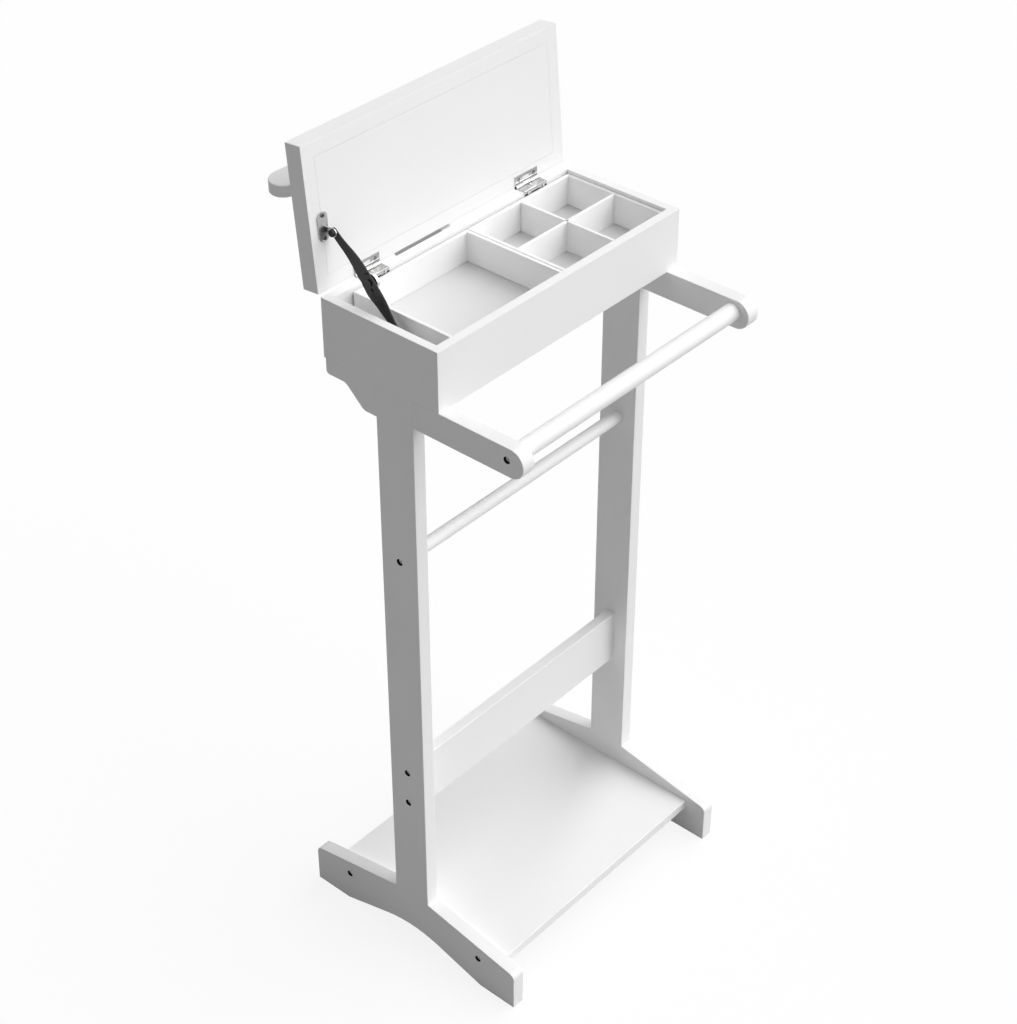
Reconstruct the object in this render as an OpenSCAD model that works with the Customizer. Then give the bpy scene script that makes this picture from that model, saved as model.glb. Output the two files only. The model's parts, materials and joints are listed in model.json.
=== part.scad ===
// Clothes valet stand: two side frames carry a lidded box with lift-out trays,
// two arms with a trouser bar, a lower rod, a stretcher, a shoe shelf and a
// contoured coat hanger on a board behind the box.
// Sizes are millimetres. X runs across, Y runs from front to back, Z runs up.
// The floor is Z = 0, the middle of the width is X = 0 and the middle of the
// whole depth is Y = 0. Inside the modules, depths are counted from the middle
// of the posts, and placed() moves them to that origin. The lid is shown open.

/* [Side frames] */
// Width over the two side frames
valet_w = 450; // [400:1:520]
// Thickness of the side frame and arm boards
side_t = 20; // [16:0.5:26]
// Front to back depth of each post
post_d = 60; // [52:1:72]
// Front to back length of each foot
foot_d = 377; // [350:1:420]
// Length of the flat pad at each end of a foot
pad_len = 61; // [45:1:75]
// Slope of the straight flanks of the arch under a foot, in degrees
arch_angle = 16; // [10:1:20]
// Radius of the crown of the arch
arch_r = 176; // [120:1:200]
// Height of the foot's end, up to the line of its sloping top
foot_end_h = 61.6; // [50:0.2:75]
// Slope of the top of the foot, in degrees
foot_slope = 10.6; // [6:0.2:14]
// Radius of the foot's upper corner
foot_corner_r = 10; // [4:0.5:16]

/* [Bracket under the box] */
// Reach of the rear bracket behind the middle of the post
bracket_reach = 112; // [100:0.5:114]
// Depth of the bracket's board at its rear end
bracket_lip_h = 21.8; // [18:0.2:30]
// Depth of the bracket where it leaves the post
bracket_root_h = 49; // [40:0.5:60]
// Flat length under the bracket next to the post
bracket_flat = 20.7; // [12:0.1:26]
// Slope of the bracket's S-curve, in degrees
bracket_slope = 43; // [36:1:55]
// Radius of both bends of the S-curve
bracket_bend_r = 12; // [6:0.5:16]
// Radius of the bracket's rear lower corner
bracket_nose_r = 5.5; // [2:0.5:9]

/* [Arms and bars] */
// Reach of the arms' front ends from the middle of the post
arm_reach = 201.2; // [170:0.2:230]
// Height of the arms
arm_h = 39.4; // [32:0.2:48]
// Diameter of the trouser bar
trouser_bar_d = 24; // [18:0.5:28]
// Trouser bar axis behind the arms' front ends
trouser_bar_setback = 24.9; // [20:0.1:32]
// Trouser bar axis below the arms' top
trouser_bar_drop = 17; // [15:0.1:20]
// Diameter of the lower rod
lower_rod_d = 18; // [14:0.5:24]
// Height of the lower rod's axis
lower_rod_z = 679; // [560:1:760]

/* [Stretcher and shelf] */
// Thickness of the stretcher board
stretcher_t = 15; // [14:0.5:22]
// Height of the stretcher board
stretcher_h = 84; // [60:1:110]
// Height of the stretcher's lower edge
stretcher_z = 254; // [180:1:320]
// Distance of the stretcher's bolts from its edges
stretcher_bolt_inset = 15; // [12:0.5:20]
// Front to back depth of the shoe shelf
shelf_d = 308; // [280:1:340]
// Thickness of the shoe shelf
shelf_t = 15; // [14:0.5:20]
// Height of the shelf's upper face
shelf_top_z = 58.2; // [54:0.2:62]
// Distance of the shelf's bolts from its front and back edges
shelf_bolt_inset = 31; // [20:0.5:45]

/* [Box] */
// Height of the underside of the box
box_under_z = 932.2; // [850:0.2:1000]
// Box front ahead of the middle of the posts
box_front_reach = 72; // [60:0.5:80]
// Front to back depth of the box
box_d = 186.4; // [180:0.2:200]
// Height of the box walls
box_h = 83.1; // [80:0.1:100]
// Thickness of the box walls
box_wall = 12; // [10:0.5:14]
// Thickness of the bottom panel
box_bottom_t = 6; // [4:0.5:8]

/* [Trays] */
// Width of the divided tray at the right
divided_tray_w = 195.5; // [160:0.1:225]
// Clear width left of the open tray, where the lid stay folds
stay_space_w = 28; // [24.5:0.1:34]
// Front to back depth of both trays
tray_d = 159.6; // [140:0.2:159.6]
// Height of both trays
tray_h = 47; // [36:0.5:50]
// Thickness of the tray walls
tray_wall = 5; // [3:0.5:7]
// Thickness of the tray floors
tray_floor_t = 5; // [3:0.5:6]
// Thickness of the two crossing dividers
divider_t = 4; // [2:0.5:5]
// Tray rims below the rim of the box
tray_rim_drop = 5; // [1:0.1:8]
// Width of the ledges that carry the trays
ledge_w = 10; // [8:0.5:14]
// Height of the ledges
ledge_h = 12; // [8:0.5:14]

/* [Lid] */
// Thickness of the lid
lid_t = 25; // [22:0.5:28]
// Width of the frame round the flush inner panel
lid_frame_w = 19.5; // [17:0.5:26]
// Width of the fine groove between the frame and the panel
lid_groove = 0.6; // [0.5:0.1:2]
// Thickness of the flush inner panel
lid_panel_t = 15; // [10:0.5:16]
// Opening of the lid, in degrees
lid_open = 95; // [90:1:98]

/* [Coat hanger] */
// Width of the hanger
hanger_w = 400; // [360:1:440]
// Thickness of the hanger
hanger_t = 16; // [14:0.5:20]
// Height of the hanger's top above the rim of the box
hanger_rise = 113.1; // [105:0.1:140]
// Radius of the hanger's curve across the shoulders
hanger_r = 2500; // [1500:10:4000]
// Rear edge of the hanger's ends behind the middle of the posts
hanger_back = 232; // [225:0.5:240]
// Front to back depth of the hanger in the middle
hanger_d = 43; // [36:0.5:46]
// Front to back depth of the hanger at its ends
hanger_end_d = 40.8; // [32:0.2:42]
// How far the hanger's ends bend back behind its middle
hanger_sweep = 9; // [4:0.5:12]
// Thickness of the board that holds the hanger
support_t = 18; // [16:0.5:22]
// Depth of that board's upright part
support_post_d = 46; // [38:0.5:50]
// Rear edge of that board ahead of the hanger's rear edge
support_inset = 6; // [3:0.5:10]
// Top of that board's level part below the rim of the box
support_drop = 3.3; // [2.5:0.1:6]
// Radius of that board's rear lower corner
support_corner_r = 65; // [40:1:80]
// Radius of that board's inner corner
support_inner_r = 25; // [15:1:30]

/* [Bolts and dowels] */
// Diameter of the bolts
bolt_d = 5; // [4:0.5:6]
// Diameter of the bolt heads
bolt_head_d = 8.5; // [7.5:0.1:10]
// Height of the bolt heads
bolt_head_h = 5; // [4:0.5:6]
// Hex key size of the bolts, across flats
bolt_key = 4; // [3:0.5:5]
// Depth of the bolt heads below the outer faces
bolt_recess = 3.4; // [1:0.1:4]
// Diameter of the cross nuts in the boards
cross_nut_d = 10; // [9:0.5:12]
// Length of the cross nuts
cross_nut_len = 11.5; // [10:0.5:12]
// Distance of the cross nuts from the boards' ends
cross_nut_setback = 28; // [22:1:36]
// Diameter of the threaded inserts in the bars' ends
insert_d = 9; // [8:0.5:10]
// Length of the threaded inserts
insert_len = 18; // [14:1:24]
// Diameter of the large dowels
dowel_d = 8; // [6:0.5:8]
// Length of the large dowels
dowel_len = 30; // [26:1:34]
// Diameter of the dowels under the box's end walls
box_dowel_d = 6; // [5:0.5:7]
// Length of the dowels under the box's end walls
box_dowel_len = 28; // [22:1:32]
// Diameter of the screws from the box into the hanger's board
support_screw_d = 4; // [3.5:0.5:5]
// Diameter of those screws' heads
support_screw_head_d = 8; // [7:0.5:9]
// Length of those screws
support_screw_len = 40; // [30:1:50]

/* [Hinges] */
// Distance of the left hinge's middle from the lid's end
left_hinge_inset = 82.5; // [60:0.5:110]
// Distance of the right hinge's middle from the lid's end
right_hinge_inset = 75; // [60:0.5:110]
// Width of each hinge
hinge_w = 43; // [36:1:50]
// Thickness of the hinge leaves
leaf_t = 0.95; // [0.8:0.05:1]
// Gap between the leaves when the lid is closed
leaf_gap = 0.3; // [0.3:0.05:0.5]
// Diameter of the hinge barrel
barrel_d = 5; // [4.6:0.1:5.2]
// Diameter of the hinge pin
hinge_pin_d = 2.6; // [2.2:0.1:2.8]
// Hinge axis behind the rear face of the box
hinge_setback = 2.6; // [2.6:0.1:3]
// Reach of the lid leaf over the lid, from the lid's edge
lid_leaf_reach = 12; // [11:0.5:15]
// Depth of the wall leaf's flange down the inner face of the wall
wall_flange_h = 6.4; // [6:0.1:6.8]
// Diameter of the hinge screw heads
hinge_screw_head_d = 4.2; // [3.6:0.1:4.6]
// Diameter of the hinge screw shanks
hinge_screw_d = 2; // [1.6:0.1:2.4]
// Length of the hinge screws
hinge_screw_len = 9; // [7:0.5:11]
// Gap between neighbouring knuckles
knuckle_gap = 0.3; // [0.2:0.05:0.5]

/* [Lid stay] */
// Outer face of the side frame to the outer face of the stay's lower arm
stay_x = 26; // [25:0.1:27]
// Thickness of the stay's arms
arm_plate_t = 2; // [1.5:0.1:2.2]
// Gap between neighbouring moving plates of the stay
plate_gap = 0.3; // [0.3:0.05:0.4]
// Width of the stay's plate on the lid
stay_plate_w = 16; // [14:0.5:18]
// Thickness of that plate and its ear
stay_plate_t = 1.5; // [1.2:0.1:2]
// Lower end of that plate above the lid's hinged edge
stay_plate_from = 60; // [56:0.5:64]
// Length of that plate
stay_plate_len = 38.6; // [34:0.2:42]
// Top pivot above the lid's hinged edge
top_pivot_rise = 70.6; // [69:0.1:72]
// Top pivot in front of the lid's inner face
top_pivot_standoff = 9; // [8.5:0.1:9.5]
// Elbow pivot ahead of the inner face of the rear wall
elbow_ahead = 43.5; // [43:0.1:44]
// Elbow pivot above the rim of the box
elbow_rise = 29.2; // [28.8:0.1:29.6]
// Base pivot ahead of the inner face of the rear wall
base_ahead = 122.4; // [121:0.1:123]
// Base pivot above the bottom panel
base_rise = 28.8; // [28:0.1:29.5]
// Width of the upper arm at its top end
upper_end_w = 11.5; // [10:0.5:13]
// Width of the lower arm at its foot
lower_end_w = 13; // [11:0.5:14]
// Width of both arms at the elbow
elbow_w = 23; // [20:0.5:23.6]
// Bow of the lower arm's middle line
lower_bow = 9; // [4:0.5:12]
// Diameter of the damper disc behind the elbow
disc_d = 20; // [18:0.5:22]
// Thickness of the damper disc
disc_t = 4; // [3:0.1:4.4]
// Diameter of the stay's rivets
rivet_d = 4; // [3.5:0.1:4.5]
// Diameter of the elbow rivet's head
elbow_head_d = 9; // [8:0.1:10]
// Diameter of the smaller rivet heads
rivet_head_d = 6.5; // [6:0.1:7.5]
// Height of the rivet heads
rivet_head_h = 1.2; // [1:0.1:1.5]
// Distance of the lid plate's screws from its ends
stay_screw_inset = 5; // [4:0.5:7]
// Width of the base bracket's foot
base_plate_w = 12; // [10:0.5:12.5]
// Length of the base bracket's foot
base_plate_len = 40; // [32:1:48]
// Distance of the base bracket's screws from the ends of its foot
base_screw_inset = 6; // [5:0.5:8]
// Length of the base bracket's screws below its foot
base_screw_len = 5.5; // [4:0.5:5.5]

/* [Hidden] */
// Facets of the preview's round faces
$fn = 64;
// Degrees between the points of a rounded corner
corner_step = 5;
// Degrees in half a turn
half_turn = 180;
// Overrun of every cut past the face it opens
cut = 1;
// Clearance round fixed pins, dowels and screws in their holes
hole_clear = 0.1;
// Clearance round a pin in a hole that turns on it
pin_fit = 0.04;
// Gap between a lift-out piece and what it rests on
rest_gap = 0.3;
// Gap between the curved underside of the hanger and the board's flat top
support_seat = 0.05;

// Colours of the finishes
white_paint = "white";
nickel = "silver";
black_steel = "#26262a";
beech = "burlywood";
zinc = "lightsteelblue";

// Derived planes
half_w = valet_w / 2;
inner_x = half_w - side_t;
mid_y = (hanger_back - arm_reach) / 2;
box_front_y = -box_front_reach;
box_rear_y = box_front_y + box_d;
box_inner_front_y = box_front_y + box_wall;
box_inner_rear_y = box_rear_y - box_wall;
box_top_z = box_under_z + box_h;
box_floor_z = box_under_z + box_bottom_t;
box_inner_x = half_w - box_wall;
trouser_bar_y = trouser_bar_setback - arm_reach;
trouser_bar_z = box_under_z - trouser_bar_drop;
shelf_mid_z = shelf_top_z - shelf_t / 2;
tray_top_z = box_top_z - tray_rim_drop;
tray_under_z = tray_top_z - tray_h;
divided_tray_x = box_inner_x - 0.5 * rest_gap - divided_tray_w;
open_tray_x = stay_space_w - box_inner_x;
open_tray_w = divided_tray_x - 2 * rest_gap - open_tray_x;
tray_front_y = box_inner_front_y + 2 * rest_gap;
lid_under_z = box_top_z + 2 * leaf_t + leaf_gap;
left_hinge_x = left_hinge_inset - half_w;
right_hinge_x = half_w - right_hinge_inset;
hinge_y = box_rear_y + hinge_setback;
hinge_z = (box_top_z + lid_under_z) / 2;
hanger_top_z = box_top_z + hanger_rise;
support_back_y = hanger_back - support_inset;
support_front_y = support_back_y - support_post_d;
hanger_under_z = hanger_top_z - hanger_t;

// Moves a module's work from the middle of the posts to the part's origin
module placed() {
    translate([0, -mid_y, 0]) children();
}

// Unit vector, and a vector turned by an angle
function unit(v) = v / norm(v);
function turned(v, angle) = [
    v.x * cos(angle) - v.y * sin(angle),
    v.x * sin(angle) + v.y * cos(angle)
];

// Arc that rounds corner b, given as [x, y, radius], between its neighbours
function corner_arc(a, b, c) =
    let (point = [b.x, b.y])
    b.z == 0 ? [point] :
    let (
        toward = unit([a.x, a.y] - point),
        away = unit([c.x, c.y] - point),
        half = acos(toward * away) / 2,
        centre = point + unit(toward + away) * b.z / sin(half),
        spoke = point + toward * b.z / tan(half) - centre,
        side = toward.x * away.y - toward.y * away.x > 0 ? -1 : 1,
        sweep = half_turn - 2 * half,
        steps = max(2, ceil(sweep / corner_step))
    )
    [for (i = [0 : steps]) centre + turned(spoke, side * sweep * i / steps)];

// Closed outline from corners given as [x, y, radius]
function outline(corners) =
    let (n = len(corners))
    [for (i = [0 : n - 1])
        each corner_arc(corners[(i + n - 1) % n], corners[i], corners[(i + 1) % n])];

// Board standing in the YZ plane, drawn as [depth, height], from x over a thickness
module upright_board(x, thickness) {
    translate([x, 0, 0])
        rotate([90, 0, 90])
            linear_extrude(thickness) children();
}

// Box between two opposite corners
module block(low, high) {
    translate(low) cube(high - low);
}

// Round bar along X, Y or Z from a point
module bar_x(from, d, len) {
    translate(from) rotate([0, 90, 0]) cylinder(h = len, d = d);
}

module bar_y(from, d, len) {
    translate(from) rotate([-90, 0, 0]) cylinder(h = len, d = d);
}

module bar_z(from, d, len) {
    translate(from) cylinder(h = len, d = d);
}

// The same work at the left as drawn, and mirrored to the right
module on_both_sides() {
    children();
    mirror([1, 0, 0]) children();
}

// Places of the fasteners, as [depth, height] on the outer faces
trouser_bar_place = [trouser_bar_y, trouser_bar_z];
lower_rod_place = [0, lower_rod_z];
stretcher_places = [
    [0, stretcher_z + stretcher_bolt_inset],
    [0, stretcher_z + stretcher_h - stretcher_bolt_inset]
];
shelf_places = [
    [shelf_bolt_inset - shelf_d / 2, shelf_mid_z],
    [shelf_d / 2 - shelf_bolt_inset, shelf_mid_z]
];
arm_dowel_places = [
    box_under_z - arm_h / 4,
    box_under_z - arm_h * 3 / 4
];
box_dowel_places = [0, bracket_reach - bracket_lip_h];

// Bolt from the left outer face towards +X, with a hex socket in its head
bolt_seat = bolt_recess + bolt_head_h;

module side_bolt(place, reach) {
    translate([-half_w, place.x, place.y])
        rotate([0, 90, 0])
            difference() {
                union() {
                    translate([0, 0, bolt_recess])
                        cylinder(h = bolt_head_h, d = bolt_head_d);
                    translate([0, 0, bolt_seat])
                        cylinder(h = side_t - bolt_seat + reach, d = bolt_d);
                }
                translate([0, 0, bolt_recess - cut])
                    cylinder(h = bolt_head_h * 0.6 + cut, d = bolt_key / cos(30), $fn = 6);
            }
}

// Stepped hole for such a bolt through the left board
module side_bolt_hole(place) {
    bar_x([-half_w - cut, place.x, place.y], bolt_head_d + 4 * hole_clear, cut + bolt_seat);
    bar_x([-half_w - cut, place.x, place.y], bolt_d + 4 * hole_clear, side_t + 2 * cut);
}

// Outline of a side frame: foot, post and rear bracket cut from one board
function side_frame_outline() =
    let (
        foot = foot_d / 2,
        post = post_d / 2,
        arch = foot - pad_len,
        shoulder_z = foot_end_h + (foot - post) * tan(foot_slope),
        root_z = box_under_z - bracket_root_h,
        lip_z = box_under_z - bracket_lip_h,
        knee_y = post + bracket_flat,
        brow_y = knee_y + (lip_z - root_z) / tan(bracket_slope)
    )
    outline([
        [-foot, 0, 0],
        [-arch, 0, 0],
        [0, arch * tan(arch_angle), arch_r],
        [arch, 0, 0],
        [foot, 0, 0],
        [foot, foot_end_h, foot_corner_r],
        [post, shoulder_z, 0],
        [post, root_z, 0],
        [knee_y, root_z, bracket_bend_r],
        [brow_y, lip_z, bracket_bend_r],
        [bracket_reach, lip_z, bracket_nose_r],
        [bracket_reach, box_under_z, 0],
        [-post, box_under_z, 0],
        [-post, shoulder_z, 0],
        [-foot, foot_end_h, foot_corner_r]
    ]);

module side_frame() {
    difference() {
        upright_board(-half_w, side_t) polygon(side_frame_outline());
        for (place = concat([lower_rod_place], stretcher_places, shelf_places))
            side_bolt_hole(place);
        for (z = arm_dowel_places)
            bar_y([-half_w + side_t / 2, -post_d / 2 - cut, z], dowel_d + 2 * hole_clear,
                cut + dowel_len / 2 + hole_clear);
        for (y = box_dowel_places)
            bar_z([-half_w + box_wall / 2, y, box_under_z - box_dowel_len / 2 - hole_clear],
                box_dowel_d + 2 * hole_clear, box_dowel_len / 2 + hole_clear + cut);
    }
}

module side_frame_left() color(white_paint) placed() side_frame();

module side_frame_right() color(white_paint) placed() mirror([1, 0, 0]) side_frame();

// Arm with a half-round front end, doweled to the front edge of the post
module arm() {
    end_y = arm_h / 2 - arm_reach;
    difference() {
        union() {
            block([-half_w, end_y, box_under_z - arm_h], [-inner_x, -post_d / 2, box_under_z]);
            bar_x([-half_w, end_y, box_under_z - arm_h / 2], arm_h, side_t);
        }
        side_bolt_hole(trouser_bar_place);
        for (z = arm_dowel_places)
            bar_y([-half_w + side_t / 2, -post_d / 2 - dowel_len / 2 - hole_clear, z],
                dowel_d + 2 * hole_clear, cut + dowel_len / 2 + hole_clear);
    }
}

module arm_left() color(white_paint) placed() arm();

module arm_right() color(white_paint) placed() mirror([1, 0, 0]) arm();

module arm_dowels() color(beech) placed() on_both_sides()
    for (z = arm_dowel_places)
        bar_y([-half_w + side_t / 2, -(post_d + dowel_len) / 2, z], dowel_d, dowel_len);

// Bar between the side boards with a threaded insert in each end
module cross_bar(place, d) {
    difference() {
        bar_x([-inner_x, place.x, place.y], d, 2 * inner_x);
        on_both_sides()
            bar_x([-inner_x - cut, place.x, place.y], insert_d + 2 * hole_clear,
                cut + insert_len + 2 * bolt_d);
    }
}

module bar_inserts(place) {
    on_both_sides()
        difference() {
            bar_x([-inner_x, place.x, place.y], insert_d, insert_len);
            bar_x([-inner_x - cut, place.x, place.y], bolt_d + 2 * hole_clear,
                insert_len + 2 * cut);
        }
}

module trouser_bar() color(white_paint) placed() cross_bar(trouser_bar_place, trouser_bar_d);

module trouser_bar_inserts() color(zinc) placed() bar_inserts(trouser_bar_place);

module trouser_bar_bolts() color(nickel) placed() on_both_sides()
    side_bolt(trouser_bar_place, insert_len);

module lower_rod() color(white_paint) placed() cross_bar(lower_rod_place, lower_rod_d);

module lower_rod_inserts() color(zinc) placed() bar_inserts(lower_rod_place);

module lower_rod_bolts() color(nickel) placed() on_both_sides()
    side_bolt(lower_rod_place, insert_len);

// Bolt holes in the ends of a board between the side frames
module board_bolt_holes(places) {
    for (place = places)
        bar_x([-inner_x - cut, place.x, place.y], bolt_d + 4 * hole_clear,
            cut + cross_nut_setback + cross_nut_d);
}

// Stretcher: cross nut holes open towards the back
module stretcher() color(white_paint) placed()
    difference() {
        block([-inner_x, -stretcher_t / 2, stretcher_z],
            [inner_x, stretcher_t / 2, stretcher_z + stretcher_h]);
        on_both_sides() {
            board_bolt_holes(stretcher_places);
            for (place = stretcher_places)
                bar_y([-inner_x + cross_nut_setback, stretcher_t / 2 - cross_nut_len, place.y],
                    cross_nut_d + 2 * hole_clear, cross_nut_len + cut);
        }
    }

// Cross nut with its bolt hole, standing along Z from a point
module cross_nut(hole_up) {
    difference() {
        cylinder(h = cross_nut_len - hole_clear, d = cross_nut_d);
        translate([-cross_nut_d, 0, hole_up])
            rotate([0, 90, 0]) cylinder(h = 2 * cross_nut_d, d = bolt_d + 2 * hole_clear);
    }
}

module stretcher_cross_nuts() color(zinc) placed() on_both_sides()
    for (place = stretcher_places)
        translate([-inner_x + cross_nut_setback, stretcher_t / 2 - hole_clear, place.y])
            rotate([90, 0, 0]) cross_nut(stretcher_t / 2 - hole_clear);

module stretcher_bolts() color(nickel) placed() on_both_sides()
    for (place = stretcher_places)
        side_bolt(place, cross_nut_setback + cross_nut_d / 2);

// Shoe shelf: cross nut holes open underneath
module shoe_shelf() color(white_paint) placed()
    difference() {
        block([-inner_x, -shelf_d / 2, shelf_top_z - shelf_t], [inner_x, shelf_d / 2, shelf_top_z]);
        on_both_sides() {
            board_bolt_holes(shelf_places);
            for (place = shelf_places)
                bar_z([-inner_x + cross_nut_setback, place.x, shelf_top_z - shelf_t - cut],
                    cross_nut_d + 2 * hole_clear, cut + cross_nut_len);
        }
    }

module shelf_cross_nuts() color(zinc) placed() on_both_sides()
    for (place = shelf_places)
        translate([-inner_x + cross_nut_setback, place.x, shelf_top_z - shelf_t + hole_clear])
            cross_nut(shelf_t / 2 - hole_clear);

module shelf_bolts() color(nickel) placed() on_both_sides()
    for (place = shelf_places)
        side_bolt(place, cross_nut_setback + cross_nut_d / 2);

// Screw with a flush conical head, head face at the origin, pointing along -Z
module flush_screw(head_d, d, len) {
    head_h = (head_d - d) / 2;
    translate([0, 0, -head_h]) cylinder(h = head_h, d1 = d, d2 = head_d);
    translate([0, 0, -len]) cylinder(h = len - head_h, d = d);
}

// Hole for such a screw, with the head's cone
module flush_screw_hole(head_d, d, len) {
    flush_screw(head_d + 2 * hole_clear, d + 2 * hole_clear, len + hole_clear);
    cylinder(h = cut, d = head_d + 2 * hole_clear);
}

// Box walls, mitred at the corners, each wall drawn as the front or left one
support_screw_share = [0.25, 0.5, 0.75];
support_screw_z = [for (s = support_screw_share) box_floor_z + (box_h - box_bottom_t) * s];

module mitred_wall(corner_a, corner_b, inner_b, inner_a) {
    translate([0, 0, box_under_z])
        linear_extrude(box_h) polygon([corner_a, corner_b, inner_b, inner_a]);
}

module support_screw_places() {
    for (z = support_screw_z)
        translate([0, box_inner_rear_y, z]) rotate([90, 0, 0]) children();
}

module box_front() color(white_paint) placed()
    mitred_wall([-half_w, box_front_y], [half_w, box_front_y],
        [box_inner_x, box_inner_front_y], [-box_inner_x, box_inner_front_y]);

module box_rear() color(white_paint) placed()
    difference() {
        mitred_wall([half_w, box_rear_y], [-half_w, box_rear_y],
            [-box_inner_x, box_inner_rear_y], [box_inner_x, box_inner_rear_y]);
        support_screw_places()
            flush_screw_hole(support_screw_head_d, support_screw_d, support_screw_len);
        hinge_places() wall_leaf_screw_places()
            translate([0, 0, -hinge_screw_len - hole_clear])
                cylinder(h = hinge_screw_len + hole_clear + cut,
                    d = hinge_screw_d + 2 * hole_clear);
    }

module box_end() {
    difference() {
        mitred_wall([-half_w, box_rear_y], [-half_w, box_front_y],
            [-box_inner_x, box_inner_front_y], [-box_inner_x, box_inner_rear_y]);
        for (y = box_dowel_places)
            bar_z([-half_w + box_wall / 2, y, box_under_z - cut],
                box_dowel_d + 2 * hole_clear, cut + box_dowel_len / 2 + hole_clear);
    }
}

module box_left_end() color(white_paint) placed() box_end();

module box_right_end() color(white_paint) placed() mirror([1, 0, 0]) box_end();

module box_bottom() color(white_paint) placed()
    difference() {
        block([-box_inner_x, box_inner_front_y, box_under_z],
            [box_inner_x, box_inner_rear_y, box_floor_z]);
        base_screw_places()
            flush_screw_hole(hinge_screw_head_d, hinge_screw_d, base_screw_len);
    }

module box_dowels() color(beech) placed() on_both_sides()
    for (y = box_dowel_places)
        bar_z([-half_w + box_wall / 2, y, box_under_z - box_dowel_len / 2],
            box_dowel_d, box_dowel_len);

// Ledges under the trays; they stop short of the stay's space at the left
ledge_top_z = tray_under_z - rest_gap;

module tray_ledge(y) {
    block([open_tray_x, y, ledge_top_z - ledge_h], [box_inner_x, y + ledge_w, ledge_top_z]);
}

module tray_ledge_front() color(white_paint) placed() tray_ledge(box_inner_front_y);

module tray_ledge_rear() color(white_paint) placed() tray_ledge(box_inner_rear_y - ledge_w);

// Tray walls: four sides in one ring, with a rebate that takes the floor from below
rebate_w = tray_wall / 2;

module tray_ring(x, w) {
    difference() {
        block([x, tray_front_y, tray_under_z], [x + w, tray_front_y + tray_d, tray_top_z]);
        block([x + tray_wall, tray_front_y + tray_wall, tray_under_z - cut],
            [x + w - tray_wall, tray_front_y + tray_d - tray_wall, tray_top_z + cut]);
        block([x + rebate_w, tray_front_y + rebate_w, tray_under_z - cut],
            [x + w - rebate_w, tray_front_y + tray_d - rebate_w, tray_under_z + tray_floor_t]);
    }
}

module tray_floor(x, w) {
    block([x + rebate_w, tray_front_y + rebate_w, tray_under_z],
        [x + w - rebate_w, tray_front_y + tray_d - rebate_w, tray_under_z + tray_floor_t]);
}

module tray_open() color(white_paint) placed() tray_ring(open_tray_x, open_tray_w);

module tray_open_floor() color(white_paint) placed() tray_floor(open_tray_x, open_tray_w);

module tray_divided() color(white_paint) placed() tray_ring(divided_tray_x, divided_tray_w);

module tray_divided_floor() color(white_paint) placed() tray_floor(divided_tray_x, divided_tray_w);

// Two dividers that cross in the middle, halved into each other
divider_floor_z = tray_under_z + tray_floor_t;
divider_mid_z = (divider_floor_z + tray_top_z) / 2;
divider_mid_x = divided_tray_x + divided_tray_w / 2;
divider_mid_y = tray_front_y + tray_d / 2;

module tray_divider_long() color(white_paint) placed()
    difference() {
        block([divided_tray_x + tray_wall, divider_mid_y - divider_t / 2, divider_floor_z],
            [divided_tray_x + divided_tray_w - tray_wall, divider_mid_y + divider_t / 2,
                tray_top_z]);
        block([divider_mid_x - divider_t / 2, divider_mid_y - divider_t, divider_mid_z],
            [divider_mid_x + divider_t / 2, divider_mid_y + divider_t, tray_top_z + cut]);
    }

module tray_divider_cross() color(white_paint) placed()
    difference() {
        block([divider_mid_x - divider_t / 2, tray_front_y + tray_wall, divider_floor_z],
            [divider_mid_x + divider_t / 2, tray_front_y + tray_d - tray_wall, tray_top_z]);
        block([divider_mid_x - divider_t, divider_mid_y - divider_t / 2, divider_floor_z - cut],
            [divider_mid_x + divider_t, divider_mid_y + divider_t / 2, divider_mid_z]);
    }

// Everything on the lid is drawn closed and then turned open about the hinge axis
module opened() {
    translate([0, hinge_y, hinge_z])
        rotate([-lid_open, 0, 0])
            translate([0, -hinge_y, -hinge_z]) children();
}

lid_pocket_top_z = lid_under_z + lid_panel_t;

module lid_frame() color(white_paint) placed() opened()
    difference() {
        block([-half_w, box_front_y, lid_under_z], [half_w, box_rear_y, lid_under_z + lid_t]);
        block([-half_w + lid_frame_w, box_front_y + lid_frame_w, lid_under_z - cut],
            [half_w - lid_frame_w, box_rear_y - lid_frame_w, lid_pocket_top_z]);
        hinge_places() lid_leaf_screw_places()
            flush_screw_hole(hinge_screw_head_d, hinge_screw_d, hinge_screw_len);
        stay_plate_screw_places()
            translate([0, 0, -hinge_screw_len - hole_clear])
                cylinder(h = hinge_screw_len + hole_clear + cut,
                    d = hinge_screw_d + 2 * hole_clear);
    }

module lid_panel() color(white_paint) placed() opened()
    difference() {
        block([-half_w + lid_frame_w + lid_groove, box_front_y + lid_frame_w + lid_groove,
                lid_under_z],
            [half_w - lid_frame_w - lid_groove, box_rear_y - lid_frame_w - lid_groove,
                lid_pocket_top_z]);
        stay_plate_screw_places()
            translate([0, 0, -hinge_screw_len - hole_clear])
                cylinder(h = hinge_screw_len + hole_clear + cut,
                    d = hinge_screw_d + 2 * hole_clear);
    }

// Hinges: the wall leaf has the two outer knuckles and the lid leaf the middle one
knuckle_w = (hinge_w - 2 * knuckle_gap) / 3;
leaf_front_y = box_inner_rear_y - leaf_t;
leaf_edge_y = hinge_y - barrel_d / 2 - leaf_gap;
hinge_screw_spread = hinge_w / 3;
lid_leaf_front_y = box_rear_y - lid_leaf_reach;

module hinge_places() {
    for (x = [left_hinge_x, right_hinge_x])
        translate([x, 0, 0]) children();
}

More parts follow.
